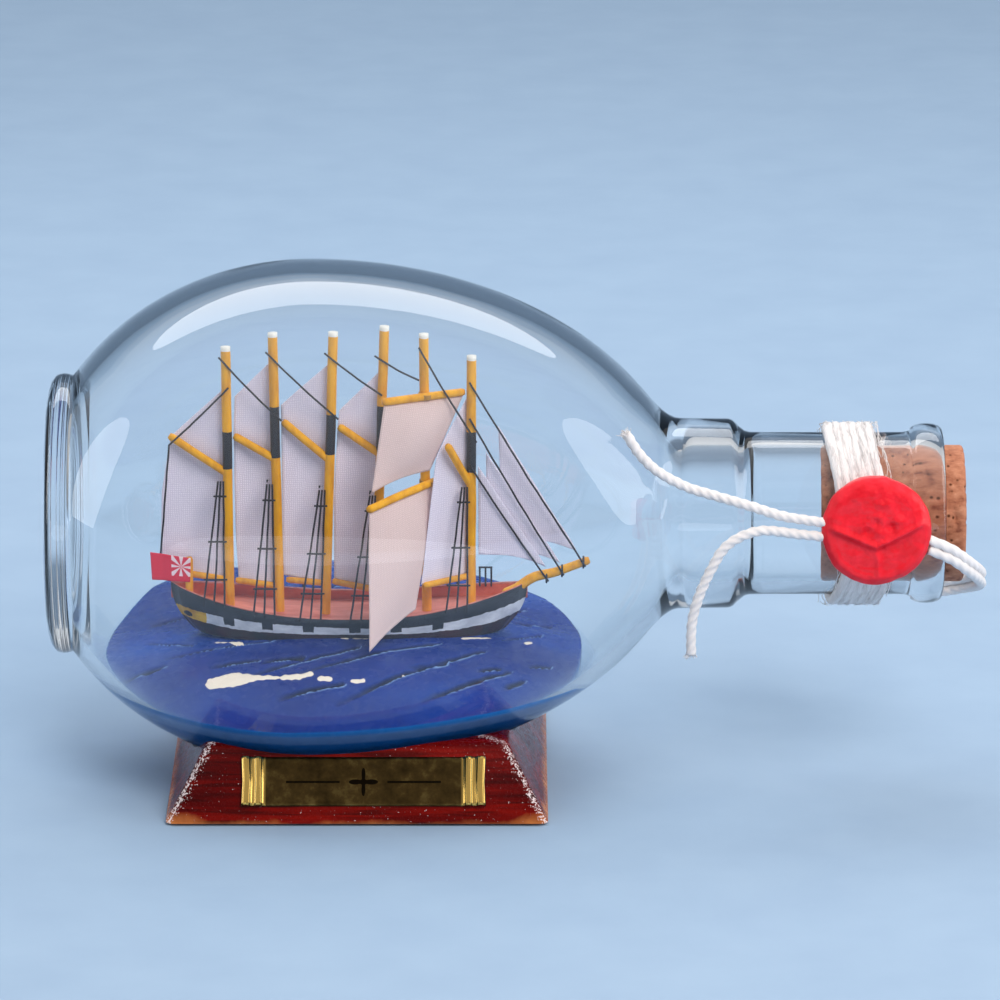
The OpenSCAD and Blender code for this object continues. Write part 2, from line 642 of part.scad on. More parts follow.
stay_y = -(mast_r + thread_d / 2);
module mast_stays() {
    color("#1c1c24") for (s = stay_list) {
        a = [mast_x(s[0], s[1]), ship_z(s[1])];
        b = [mast_x(s[2], s[3]), ship_z(s[3])];
        v = (b - a) / norm(b - a);
        y = stay_y - s[5];
        rod([a.x - v.x * stay_start, y, a.y - v.y * stay_start],
            [b.x + v.x * s[4], y, b.y + v.y * s[4]], thread_d);
    }
}
module headstays() {
    color("#1c1c24") for (s = headstay_list) {
        a = [mast_x(6, s[0]), stay_y, ship_z(s[0])];
        land = bowsprit_at(s[1]);
        b = [land.x, -(bowsprit_d + thread_d) / 2, land.z];
        v = (b - a) / norm(b - a);
        rod(a - v, b + v, thread_d);
    }
}
module spanker_line() {
    tip = gaff_tip[0];
    clew = [-33.9, 9];
    color("#1c1c24") union() {
        rod([mast_x(1, 40) + 0.4, stay_y, ship_z(40.2)],
            [ship_x(tip[0]), stay_y, ship_z(tip[1] - 1.4)], thread_d);
        rod([ship_x(tip[0]), stay_y, ship_z(tip[1] - 1.4)],
            [ship_x(clew[0]), stay_y, ship_z(clew[1])], thread_d);
        translate([ship_x(tip[0]), stay_y, ship_z(tip[1] - 1.4)])
            sphere(d = thread_d * 1.3, $fn = 20);
    }
}

module mast_1() mast(1);
module mast_2() mast(2);
module mast_3() mast(3);
module mast_4() mast(4);
module mast_5() mast(5);
module mast_6() mast(6);
module gaff_1() gaff(1);
module gaff_2() gaff(2);
module gaff_3() gaff(3);
module gaff_4() gaff(4);
module gaff_6() gaff(6);
module boom_1() boom(1);
module boom_2() boom(2);
module boom_3() boom(3);
module boom_4() boom(4);
module boom_6() boom(6);
module shrouds_1() shrouds(1);
module shrouds_2() shrouds(2);
module shrouds_3() shrouds(3);
module shrouds_4() shrouds(4);
module shrouds_6() shrouds(6);

stand_block();
name_plate();
bottle_glass();
cork();
wax_seal();
neck_string_wraps();
cork_string();
string_tail_upper();
string_tail_lower();
sea_putty();
ship_hull();
deck();
bowsprit();
fore_rail();
flagstaff();
flag();
mast_1();
mast_2();
mast_3();
mast_4();
mast_5();
mast_6();
gaff_1();
gaff_2();
gaff_3();
gaff_4();
gaff_6();
boom_1();
boom_2();
boom_3();
boom_4();
boom_6();
upper_yard();
lower_yard();
yard_lashings();
sail_1();
sail_2();
sail_3();
sail_4();
sail_6();
topsail();
course_sail();
jib_inner();
jib_middle();
jib_outer();
shrouds_1();
shrouds_2();
shrouds_3();
shrouds_4();
shrouds_6();
mast_stays();
headstays();
spanker_line();
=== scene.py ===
import math
import random

import bmesh
import bpy
from mathutils import Matrix, Vector, noise


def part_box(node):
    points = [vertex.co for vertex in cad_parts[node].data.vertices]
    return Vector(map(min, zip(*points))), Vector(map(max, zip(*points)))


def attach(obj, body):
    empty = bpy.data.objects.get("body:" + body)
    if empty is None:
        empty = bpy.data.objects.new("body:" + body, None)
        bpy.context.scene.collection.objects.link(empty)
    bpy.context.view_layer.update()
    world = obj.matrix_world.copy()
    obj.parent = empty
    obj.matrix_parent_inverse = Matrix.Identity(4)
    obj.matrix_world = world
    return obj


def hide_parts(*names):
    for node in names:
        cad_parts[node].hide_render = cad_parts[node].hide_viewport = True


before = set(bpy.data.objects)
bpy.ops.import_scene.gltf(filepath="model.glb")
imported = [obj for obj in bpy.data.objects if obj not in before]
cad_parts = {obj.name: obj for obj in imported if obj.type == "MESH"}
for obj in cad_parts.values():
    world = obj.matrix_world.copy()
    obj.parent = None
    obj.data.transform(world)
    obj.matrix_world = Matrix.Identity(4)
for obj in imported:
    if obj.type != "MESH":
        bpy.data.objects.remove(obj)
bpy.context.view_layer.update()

MM = 0.001

# ---------------------------------------------------------------------------
# Camera and studio
# A long lens looks a little down on the bottle from the name-plate side. One
# pale blue sheet of paper makes the table and runs up far behind in a curve.
# Oval soft boxes stand behind, left, right and low; two more only give light.
# ---------------------------------------------------------------------------
glass_low, glass_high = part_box("bottle_glass")
axis_z = (glass_low[2] + glass_high[2]) / 2
body_r = (glass_high[1] - glass_low[1]) / 2

view_deg = 16.0
view_far = 1.2
view_at = Vector((24 * MM, 0, axis_z + 2.3 * MM))
lens_data = bpy.data.cameras.new("portrait_lens")
lens_data.sensor_width = 36
lens_data.lens = 254
lens_data.clip_end = 20
camera = bpy.data.objects.new("camera", lens_data)
bpy.context.scene.collection.objects.link(camera)
camera.location = view_at + view_far * Vector(
    (0, -math.cos(math.radians(view_deg)), math.sin(math.radians(view_deg))))
camera.rotation_euler = (view_at - camera.location).to_track_quat("-Z", "Y").to_euler()
bpy.context.scene.camera = camera


def soft_box(name, place, at, width, height, power, tint=(1, 1, 1), shows=True):
    lamp = bpy.data.lights.new(name, "AREA")
    lamp.shape = "ELLIPSE"
    lamp.size = width
    lamp.size_y = height
    lamp.energy = power
    lamp.color = tint
    box = bpy.data.objects.new(name, lamp)
    bpy.context.scene.collection.objects.link(box)
    box.location = place
    box.rotation_euler = (Vector(at) - Vector(place)).to_track_quat("-Z", "Y").to_euler()
    box.visible_camera = False
    box.visible_glossy = shows
    box.visible_transmission = False
    return box


bottle_middle = (0, 0, axis_z)
warm = (1.0, 0.91, 0.84)
soft_box("soft_box_behind", (-0.02, 0.36, 0.46), bottle_middle, 0.78, 0.2, 1.3)
soft_box("soft_box_left", (-0.55, 0.05, 0.15), bottle_middle, 0.2, 0.42, 0.55)
soft_box("soft_box_right", (0.5, 0.0, 0.2), bottle_middle, 0.22, 0.42, 0.6)
soft_box("soft_box_low", (-0.05, -0.42, -0.03), (0, 0, 0.04), 0.9, 0.25, 0.8, (0.9, 0.95, 1.0))
soft_box("soft_box_key", (0.4, -0.6, 0.7), bottle_middle, 0.55, 0.55, 7.0, warm, shows=False)
soft_box("soft_box_wall", (0.1, 0.55, 1.1), (0, 1.2, 0.2), 0.9, 0.3, 3.0, shows=False)

room = bpy.data.worlds.new("room_light")
room.use_nodes = True
sky = room.node_tree
around = sky.nodes.new("ShaderNodeTexCoord")
height = sky.nodes.new("ShaderNodeSeparateXYZ")
sky.links.new(around.outputs["Generated"], height.inputs[0])
both = sky.nodes.new("ShaderNodeMath")
both.operation = "MULTIPLY"
for slot, axis, low_end, high_end, dark, bright in ((0, 2, -0.1, 1.0, 0.17, 1.0),
                                                   (1, 1, -1.0, 0.1, 0.42, 1.0)):
    fade = sky.nodes.new("ShaderNodeMapRange")
    fade.inputs["From Min"].default_value = low_end
    fade.inputs["From Max"].default_value = high_end
    fade.inputs["To Min"].default_value = dark
    fade.inputs["To Max"].default_value = bright
    sky.links.new(height.outputs[axis], fade.inputs["Value"])
    sky.links.new(fade.outputs[0], both.inputs[slot])
sky.links.new(both.outputs[0], sky.nodes["Background"].inputs["Strength"])
sky.nodes["Background"].inputs["Color"].default_value = (0.92, 0.95, 1.0, 1)
bpy.context.scene.world = room
bpy.context.scene.view_settings.view_transform = "Standard"


def srgb(code):
    """A linear colour from its usual six-figure code."""
    parts = [int(code[i:i + 2], 16) / 255 for i in (1, 3, 5)]
    return tuple(c / 12.92 if c <= 0.04045 else ((c + 0.055) / 1.055) ** 2.4 for c in parts)


def new_object(name, bm, smooth=True):
    bmesh.ops.recalc_face_normals(bm, faces=bm.faces[:])
    mesh = bpy.data.meshes.new(name)
    bm.to_mesh(mesh)
    bm.free()
    if smooth:
        mesh.shade_smooth()
    piece = bpy.data.objects.new(name, mesh)
    bpy.context.scene.collection.objects.link(piece)
    return piece


def put(piece, body, look, node=None):
    """Gives a piece its material and its body, and hides the CAD node that it replaces."""
    piece.data.materials.append(look)
    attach(piece, body)
    if node:
        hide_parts(node)
    return piece


def new_material(name, colour, roughness):
    material = bpy.data.materials.new(name)
    material.use_nodes = True
    shader = material.node_tree.nodes["Principled BSDF"]
    shader.inputs["Base Color"].default_value = (*colour, 1)
    shader.inputs["Roughness"].default_value = roughness
    return material, material.node_tree, shader


def add(tree, kind, settings=None, **inputs):
    """A node with its settings and its input values or links."""
    node = tree.nodes.new(kind)
    for key, value in (settings or {}).items():
        setattr(node, key, value)
    for key, value in inputs.items():
        socket = node.inputs[int(key[1:]) if key[1:].isdigit() else key.replace("_", " ")]
        if isinstance(value, bpy.types.NodeSocket):
            tree.links.new(value, socket)
        else:
            socket.default_value = value
    return node


def join(tree, out, socket):
    tree.links.new(out, socket)


def on_object(tree):
    """Coordinates fixed to the piece, which sits at the origin."""
    return add(tree, "ShaderNodeTexCoord").outputs["Object"]


def layer(tree, name):
    """A value stored on the mesh's points."""
    return add(tree, "ShaderNodeAttribute", {"attribute_name": name}).outputs["Fac"]


def relief(tree, shader, height, strength, depth):
    """Fine bumps on a surface, depth millimetres high."""
    bump = add(tree, "ShaderNodeBump", Height=height, Strength=strength, Distance=depth * MM)
    tree.links.new(bump.outputs[0], shader.inputs["Normal"])


def settle(shader, **values):
    """Sets plain numbers on the shader's own sockets."""
    for name, value in values.items():
        shader.inputs[name.replace("_", " ")].default_value = value


def ramp(tree, factor, stops):
    node = tree.nodes.new("ShaderNodeValToRGB")
    tree.links.new(factor, node.inputs[0])
    bar = node.color_ramp.elements
    while len(bar) < len(stops):
        bar.new(0.5)
    for stop, (place, colour) in zip(bar, stops):
        stop.position = place
        stop.color = (*colour, 1) if len(colour) == 3 else colour
    return node


def speckle(tree, coords, scale, detail=4.0, rough=0.55, stretch=None):
    if stretch:
        coords = add(tree, "ShaderNodeMapping", Vector=coords, Scale=stretch).outputs[0]
    return add(tree, "ShaderNodeTexNoise", Vector=coords, Scale=scale, Detail=detail,
               Roughness=rough).outputs[0]


paper = bmesh.new()
table_far, wall_high, bend_r, half_wide, table_near = 1.7, 0.9, 0.35, 2.0, 1.4
edge = [paper.verts.new((-half_wide, -table_near, 0)),
        paper.verts.new((-half_wide, table_far, 0))]
line = [paper.edges.new(edge)]
bend = bmesh.ops.spin(paper, geom=[edge[1]], cent=(-half_wide, table_far, bend_r),
                      axis=(1, 0, 0), angle=math.radians(80), steps=16, use_duplicate=False)
top = [g for g in bend["geom_last"] if isinstance(g, bmesh.types.BMVert)][0]
rise = bmesh.ops.extrude_vert_indiv(paper, verts=[top])["verts"][0]
bmesh.ops.translate(paper, verts=[rise], vec=(0, 0.15, wall_high))
wide = bmesh.ops.extrude_edge_only(paper, edges=paper.edges[:])["geom"]
bmesh.ops.translate(paper, verts=[g for g in wide if isinstance(g, bmesh.types.BMVert)],
                    vec=(2 * half_wide, 0, 0))
backdrop = new_object("paper_backdrop", paper)
paper_look, tree, shader = new_material("paper_blue", srgb("#94acc4"), 0.85)
coords = on_object(tree)
mottle = speckle(tree, coords, 60, 5)
join(tree, ramp(tree, mottle, [(0.3, srgb("#91a9c2")), (0.7, srgb("#96aec6"))]).outputs[0],
     shader.inputs["Base Color"])
backdrop.data.materials.append(paper_look)

# ---------------------------------------------------------------------------
# Cotton cord
# Three-strand white cotton, softly twisted. Two cut tails come out from under
# the wax: one lies on the collar and the shoulder, the other hangs down.
# ---------------------------------------------------------------------------
cord_d = 1.6 * MM
cord_twist = 5.2 * MM


def from_axis(points):
    return [Vector((x * MM, y * MM, axis_z + z * MM)) for x, y, z in points]


def smooth_route(points, gap):
    """Evenly spaced places on a smooth curve through the points."""
    fine = []
    for k in range(len(points) - 1):
        a, b = points[max(k - 1, 0)], points[k]
        c, d = points[k + 1], points[min(k + 2, len(points) - 1)]
        for i in range(24):
            t = i / 24
            fine.append(0.5 * (2 * b + (c - a) * t + (2 * a - 5 * b + 4 * c - d) * t * t
                               + (3 * b - a - 3 * c + d) * t ** 3))
    fine.append(points[-1].copy())
    lengths = [0.0]
    for p, q in zip(fine, fine[1:]):
        lengths.append(lengths[-1] + (q - p).length)
    count = max(2, round(lengths[-1] / gap))
    out, k = [], 0
    for i in range(count + 1):
        want = lengths[-1] * i / count
        while k < len(lengths) - 2 and lengths[k + 1] < want:
            k += 1
        span = lengths[k + 1] - lengths[k]
        out.append(fine[k].lerp(fine[k + 1], (want - lengths[k]) / span if span else 0))
    return out


def turning_frames(line, twist_len=None):
    """A matrix at each place on the line, carried along it without spinning, then twisted."""
    frames = []
    ahead = (line[1] - line[0]).normalized()
    side = ahead.orthogonal().normalized()
    run = 0.0
    for i, place in enumerate(line):
        new = (line[min(i + 1, len(line) - 1)] - line[max(i - 1, 0)]).normalized()
        side = (ahead.rotation_difference(new) @ side).normalized()
        ahead = new
        if i:
            run += (place - line[i - 1]).length
        up = ahead.cross(side).normalized()
        turn = Matrix((side, up, ahead)).transposed().to_4x4()
        spin = Matrix.Rotation(math.tau * run / twist_len if twist_len else 0, 4, "Z")
        frames.append((Matrix.Translation(place) @ turn @ spin, run))
    return frames


def sweep(bm, line, radius, sides=12, lobes=0, lobe_depth=0.0, twist_len=None, size=None,
          closed_ends=True):
    """Wraps a grid round a line as a tube. size(share of the way) scales it as it goes."""
    frames = turning_frames(line, twist_len)
    last = len(frames) - 1
    places = [f @ Matrix.Scale(size(i / last) if size else 1.0, 4)
              for i, (f, _) in enumerate(frames)]
    skin = bmesh.ops.create_grid(bm, x_segments=sides, y_segments=last, size=0.5)["verts"]
    faces = {f for v in skin for f in v.link_faces}
    uv = bm.loops.layers.uv.get("along") or bm.loops.layers.uv.new("along")
    for f in faces:
        for l in f.loops:
            at = l.vert.co
            l[uv].uv = (frames[round((at.y + 0.5) * last)][1] / MM, at.x + 0.5)
    seam = []
    for v in skin:
        i, k = round((v.co.x + 0.5) * sides), round((v.co.y + 0.5) * last)
        a = math.tau * i / sides
        r = radius * (1 - lobe_depth * (0.5 - 0.5 * math.cos(lobes * a)))
        v.co = places[k] @ Vector((r * math.cos(a), r * math.sin(a), 0))
        if i in (0, sides):
            seam.append(v)
    bmesh.ops.remove_doubles(bm, verts=seam, dist=0.001 * MM)
    if closed_ends:
        rims = {e for f in faces if f.is_valid for e in f.edges if len(e.link_faces) == 1}
        bmesh.ops.edgeloop_fill(bm, edges=list(rims))
    return places


def sums(tree, how, *values, clamp=False):
    node = tree.nodes.new("ShaderNodeMath")
    node.operation = how
    node.use_clamp = clamp
    for i, value in enumerate(values):
        if isinstance(value, bpy.types.NodeSocket):
            tree.links.new(value, node.inputs[i])
        else:
            node.inputs[i].default_value = value
    return node.outputs[0]


def cotton_look(name, colour, strands):
    """Cotton: soft, matt and faintly fibrous, with painted shade that darkens the hollows between
    the strands.
    """
    material, tree, shader = new_material(name, colour, 0.92)
    settle(shader, Sheen_Weight=0.35, Sheen_Roughness=0.5)
    along = add(tree, "ShaderNodeUVMap", {"uv_map": "along"}).outputs[0]
    split = add(tree, "ShaderNodeSeparateXYZ", Vector=along)
    coords = on_object(tree)
    wander = speckle(tree, coords, 900, 3)
    turn = sums(tree, "MULTIPLY", split.outputs[1], strands * 6.0)
    slant = sums(tree, "MULTIPLY_ADD", split.outputs[0], 1.4, turn)
    bent = sums(tree, "MULTIPLY_ADD", wander, 1.6, slant)
    yarn = sums(tree, "PINGPONG", bent, 0.5)
    fluff = speckle(tree, coords, 5200, 4, 0.7)
    height = sums(tree, "MULTIPLY_ADD", yarn, 0.7, fluff)
    # Painted shade: the colour is darkened in the hollows between the strands, mixed with a random
    # fluff tone.
    hollow_shade_and_fluff = sums(tree, "MULTIPLY_ADD", yarn, 0.5, sums(tree, "MULTIPLY", fluff, 0.6))
    dark = tuple(c * 0.80 for c in colour)
    join(tree, ramp(tree, hollow_shade_and_fluff, [(0.2, dark), (0.62, colour)]).outputs[0],
         shader.inputs["Base Color"])
    relief(tree, shader, height, 0.55, 0.09)
    return material


cotton = cotton_look("white_cotton", (0.90, 0.865, 0.86), 3)


def frayed(bm, end, count, length, seed):
    """Loose fibres that stand out of a cut end."""
    rng = random.Random(seed)
    for _ in range(count):
        a, r = rng.uniform(0, math.tau), cord_d * 0.42 * math.sqrt(rng.random())
        root = Vector((r * math.cos(a), r * math.sin(a), -0.3 * MM))
        tip = Vector((r * 1.6 * math.cos(a), r * 1.6 * math.sin(a), length * rng.uniform(0.4, 1)))
        bend = Vector((rng.uniform(-1, 1), rng.uniform(-1, 1), 0)) * 0.25 * MM
        thread = [end @ p for p in (root, root.lerp(tip, 0.5) + bend, tip + bend * 2)]
        sweep(bm, smooth_route(thread, 0.25 * MM), 0.06 * MM, 4)


def cord_piece(name, points, seed, ends):
    line = smooth_route(from_axis(points), 0.42 * MM)
    bm = bmesh.new()
    places = sweep(bm, line, cord_d * 0.57, 18, 3, 0.17, cord_twist)
    drift = Vector((seed, 0, 0))
    for v in bm.verts:
        v.co += noise.noise_vector(v.co * 900 + drift) * 0.05 * MM
    if "last" in ends:
        frayed(bm, places[-1], 34, 0.75 * MM, seed)
    return put(new_object(name, bm), "bottle", cotton), line


upper_route = [(80.5, -16.2, 2.7), (75, -16.6, 3.6), (71, -16.8, 4.4), (65, -17, 6.4),
               (59.5, -16.1, 7.8), (55, -15.8, 9.2), (50.3, -17, 12.2), (47.4, -18, 15.3),
               (45, -18.8, 19.2)]
lower_route = [(80.5, -16.2, 0.3), (74, -17, 1.2), (68.5, -17.6, 2), (64.9, -18.1, 1.3),
               (61.7, -18.3, -0.8), (59.5, -18.3, -4.5), (57.5, -18.1, -9.2),
               (56.3, -17.7, -14.1), (56.2, -17.3, -19.8)]
for name, node, route, seed in (("tail_on_shoulder", "string_tail_upper", upper_route, 3),
                                ("tail_hanging", "string_tail_lower", lower_route, 8)):
    tail, line = cord_piece(name, route, seed, ("last",))
    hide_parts(node)

# ---------------------------------------------------------------------------
# Cord round the neck and over the cork
# The same cord is wound six turns round the neck in soft, fuzzy coils, and a
# doubled strand runs from under the wax, over the cork's end and back.
# ---------------------------------------------------------------------------
neck_r = 13.8 * MM
wrap_low, wrap_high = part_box("neck_string_wraps")
turns = 6
wrap_bm = bmesh.new()
wind = []
steps_round = 60
for i in range(turns * steps_round + 1):
    a = math.tau * i / steps_round
    front = max(0.0, math.cos(a)) ** 2
    x = wrap_low[0] + cord_d * (0.5 + (turns - 1) * i / (turns * steps_round))
    x += 2.5 * MM * (front - 0.55)
    r = neck_r + cord_d * 0.5 + 0.05 * MM * noise.noise(Vector((i * 0.11, 0, 0)))
    wind.append(Vector((x, -r * math.cos(a), axis_z + r * math.sin(a))))
sweep(wrap_bm, wind, cord_d * 0.64, 20, 7, 0.1, 16 * MM)
for v in wrap_bm.verts:
    v.co += noise.noise_vector(v.co * 900) * 0.14 * MM
rng = random.Random(12)
for _ in range(560):
    start = rng.uniform(0, math.tau)
    x = rng.uniform(wrap_low[0] - 0.1 * MM, wrap_high[0] + 0.2 * MM)
    long = rng.uniform(0.15, 0.5)
    lift = rng.uniform(0.0, 0.35) * MM
    hair = []
    for k in range(4):
        a = start + long * k / 3
        r = neck_r + cord_d * 1.02 + lift * (k / 3) ** 2 + 0.05 * MM
        sway = 2.5 * MM * (max(0.0, math.cos(a)) ** 2 - 0.55)
        hair.append(Vector((x + sway + rng.uniform(-0.3, 0.3) * MM, -r * math.cos(a),
                            axis_z + r * math.sin(a))))
    sweep(wrap_bm, smooth_route(hair, 0.9 * MM), 0.05 * MM, 4)
put(new_object("neck_winding", wrap_bm), "bottle", cotton, "neck_string_wraps")

bridle_route = [(96, -16.5, 0.1), (99.8, -15.6, -1.8), (103.2, -12.5, -5), (105.2, -7, -8),
                (106, 0, -10.8), (105.2, 7, -13.4), (102.4, 11.2, -15.2), (99.5, 12.2, -15.6),
                (95, 11.8, -13), (90, 11.6, -11.6)]
bridle_bm = bmesh.new()
for k in range(2):
    line = smooth_route([p - Vector((0, 0, k * 1.75 * MM)) for p in from_axis(bridle_route)],
                        0.42 * MM)
    sweep(bridle_bm, line, cord_d * 0.58, 16, 3, 0.15, cord_twist * 1.3)
for v in bridle_bm.verts:
    v.co += noise.noise_vector(v.co * 1100) * 0.06 * MM
put(new_object("cork_bridle", bridle_bm), "bottle", cotton, "cork_string")

# ---------------------------------------------------------------------------
# Bottle
# Clear glass blown in a mould: a full round body, a thick foot with a ring, a
# collar where the neck was joined, and a rolled lip. The walls are 2.4 mm.
# ---------------------------------------------------------------------------
wall = 2.4 * MM
widest_x = -8 * MM
foot_x = glass_low[0]
mouth_x = glass_high[0]
blunt_l = 48.2 * MM
point_l = 64.5 * MM
shoulder_x = widest_x + 0.853 * point_l
collar_x = shoulder_x + 7.4 * MM
neck_x = collar_x + 10 * MM
collar_r = 16.2 * MM
lip_r = neck_r + 1.5 * MM
bore_r = 11.7 * MM
foot_r = 0.55 * body_r


def body_radius(x, inset):
    long = (blunt_l if x < widest_x else point_l) - inset
    return (body_r - inset) * math.sqrt(max(0.0, 1 - ((x - widest_x) / long) ** 2))


def hermite(x0, r0, s0, x1, r1, s1, t):
    w = x1 - x0
    return (x0 + t * w, (2 * t ** 3 - 3 * t * t + 1) * r0 + (t ** 3 - 2 * t * t + t) * w * s0
            + (3 * t * t - 2 * t ** 3) * r1 + (t ** 3 - t * t) * w * s1)


def slope(x, inset):
    step = 0.1 * MM
    return (body_radius(x + step, inset) - body_radius(x - step, inset)) / (2 * step)


def body_arc(x0, x1, inset, steps):
    """Places on the body's outline from x0 to x1, closer together where it turns."""
    def angle(x):
        long = (blunt_l if x < widest_x else point_l) - inset
        return math.acos(max(-1, min(1, (widest_x - x) / long)))
    a0, a1 = angle(x0), angle(x1)
    out = []
    for i in range(steps + 1):
        a = a0 + (a1 - a0) * i / steps
        long = (blunt_l if a < math.pi / 2 else point_l) - inset
        out.append((widest_x - long * math.cos(a), (body_r - inset) * math.sin(a)))
    return out


def outer_outline():
    line = [(foot_x + 1.2 * MM, 0), (foot_x + 1.1 * MM, foot_r * 0.45),
            (foot_x + 0.8 * MM, foot_r * 0.64), (foot_x + 0.2 * MM, foot_r * 0.74),
            (foot_x, foot_r * 0.82), (foot_x + 0.05 * MM, foot_r * 0.89),
            (foot_x + 0.5 * MM, foot_r * 0.95), (foot_x + 1.3 * MM, foot_r * 0.99),
            (foot_x + 2.4 * MM, foot_r), (foot_x + 3.2 * MM, foot_r * 0.995)]
    line += body_arc(foot_x + 4.0 * MM, shoulder_x, 0, 60)
    line += [hermite(shoulder_x, body_radius(shoulder_x, 0), slope(shoulder_x, 0), collar_x,
                     collar_r, -0.08, t / 10) for t in range(1, 11)]
    line += [(neck_x - 1.6 * MM, collar_r - 0.1 * MM), (neck_x - 0.9 * MM, collar_r - 0.35 * MM),
             (neck_x - 0.2 * MM, collar_r - 1.0 * MM), (neck_x + 0.5 * MM, neck_r + 0.8 * MM),
             (neck_x + 1.1 * MM, neck_r + 0.3 * MM), (neck_x + 1.9 * MM, neck_r + 0.05 * MM),
             (neck_x + 4 * MM, neck_r), (mouth_x - 12 * MM, neck_r),
             (mouth_x - 6.6 * MM, neck_r), (mouth_x - 6.0 * MM, neck_r + 0.15 * MM)]
    for i in range(9):
        a = math.pi * (0.98 - 0.98 * i / 8)
        line.append((mouth_x - 2.75 * MM + 2.75 * MM * math.cos(a),
                     lip_r - 1.3 * MM + 1.3 * MM * math.sin(a) ** 0.8))
    return line


def inner_outline(gap=0.0):
    """From the mouth back to the middle of the floor, gap further in than the glass."""
    inset = wall + gap
    turn_x = shoulder_x - 3 * MM
    bore_x = collar_x + 2.6 * MM
    floor_x = foot_x + 4 * MM + gap
    line = [(mouth_x - 0.4 * MM, bore_r + 0.4 * MM - gap), (mouth_x - 1.0 * MM, bore_r - gap),
            (bore_x + 4 * MM, bore_r - gap)]
    line += [hermite(turn_x, body_radius(turn_x, inset), slope(turn_x, inset), bore_x,
                     bore_r - gap, 0, t / 12) for t in range(12, 0, -1)]
    line += body_arc(turn_x, floor_x + 1.4 * MM, inset, 64)
    end_r = body_radius(floor_x + 1.4 * MM, inset)
    line += [(floor_x + 0.7 * MM, end_r - 0.7 * MM), (floor_x + 0.2 * MM, end_r - 1.7 * MM),
             (floor_x, end_r - 3.2 * MM), (floor_x - 0.2 * MM, 0)]
    return line


def turned(bm, outline, steps=144):
    """Spins an outline of places along and out from the bottle's axis."""
    verts = [bm.verts.new((x, 0, axis_z + r)) for x, r in outline]
    edges = [bm.edges.new(pair) for pair in zip(verts, verts[1:])]
    bmesh.ops.spin(bm, geom=verts + edges, cent=(0, 0, axis_z), axis=(1, 0, 0),
                   angle=math.tau, steps=steps, use_merge=True, use_duplicate=False)
    bmesh.ops.remove_doubles(bm, verts=bm.verts[:], dist=0.002 * MM)


glass_bm = bmesh.new()
turned(glass_bm, outer_outline() + inner_outline())
glass_look = bpy.data.materials.new("clear_glass")
glass_look.use_nodes = True
tree = glass_look.node_tree
shader = tree.nodes["Principled BSDF"]
settle(shader, Base_Color=(0.965, 0.99, 1.0, 1), Roughness=0.0, IOR=1.5, Transmission_Weight=1.0)
coords = on_object(tree)
ripple = speckle(tree, coords, 60, 1.0)
relief(tree, shader, ripple, 0.12, 0.5)
rays = add(tree, "ShaderNodeLightPath")
clear = add(tree, "ShaderNodeBsdfTransparent", Color=(0.95, 0.97, 0.985, 1))
mix = add(tree, "ShaderNodeMixShader", i0=rays.outputs["Is Shadow Ray"],
          i1=shader.outputs[0], i2=clear.outputs[0])
join(tree, mix.outputs[0], tree.nodes["Material Output"].inputs["Surface"])
put(new_object("blown_bottle", glass_bm), "bottle", glass_look, "bottle_glass")

# ---------------------------------------------------------------------------
# Cork
# A natural cork, its side pressed against the glass and its end left showing.
# It is pitted, with darker specks and streaks of bark.
# ---------------------------------------------------------------------------
cork_low, cork_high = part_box("cork")
cork_r = bore_r - 0.05 * MM
cork_line = [(cork_low[0] + 0.02 * MM, cork_r * k / 13 * 0.955) for k in range(14)]
cork_line += [(cork_low[0] + 0.25 * MM, cork_r * 0.985)]
cork_line += [(cork_low[0] + (0.6 + 23.5 * k / 60) * MM, cork_r) for k in range(61)]
cork_line += [(cork_high[0] - 0.2 * MM, cork_r * 0.985)]
cork_line += [(cork_high[0], cork_r * (13 - k) / 13 * 0.955) for k in range(14)]
cork_bm = bmesh.new()
turned(cork_bm, cork_line, 150)
bmesh.ops.recalc_face_normals(cork_bm, faces=cork_bm.faces[:])
cork_bm.normal_update()
for v in cork_bm.verts:
    pit = max(0.0, noise.noise(v.co * 1500) - 0.28) * 0.9
    pit += max(0.0, noise.noise(v.co * 620 + Vector((7, 0, 0))) - 0.35) * 1.4
    out = 1.0 if v.co.x > mouth_x - 1 * MM else 0.25
    v.co -= v.normal * (0.05 + pit * out) * MM
cork_look, tree, shader = new_material("natural_cork", srgb("#c48a5c"), 0.85)
coords = on_object(tree)
grain = speckle(tree, coords, 700, 5, 0.6, (0.6, 1.0, 1.0))
body = ramp(tree, grain, [(0.3, srgb("#7a4230")), (0.45, srgb("#a96c50")),
                          (0.62, srgb("#bd8062")), (0.8, srgb("#d29d7e"))]).outputs[0]
cells = add(tree, "ShaderNodeTexVoronoi", Vector=coords, Scale=620.0).outputs["Distance"]
specks = ramp(tree, cells, [(0.10, (1, 1, 1)), (0.22, (0, 0, 0))]).outputs[0]
def blend_colour(tree, factor, under, over, how="MIX"):
    node = tree.nodes.new("ShaderNodeMix")
    node.data_type = "RGBA"
    node.blend_type = how
    for socket, value in ((node.inputs[0], factor), (node.inputs[6], under),
                          (node.inputs[7], over)):
        if isinstance(value, bpy.types.NodeSocket):
            tree.links.new(value, socket)
        elif isinstance(value, tuple) and len(value) == 3:
            socket.default_value = (*value, 1)
        else:
            socket.default_value = value
    return node.outputs[2]


join(tree, blend_colour(tree, specks, body, srgb("#5b3019")), shader.inputs["Base Color"])
relief(tree, shader, grain, 0.6, 0.25)
put(new_object("bottle_cork", cork_bm), "bottle", cork_look, "cork")

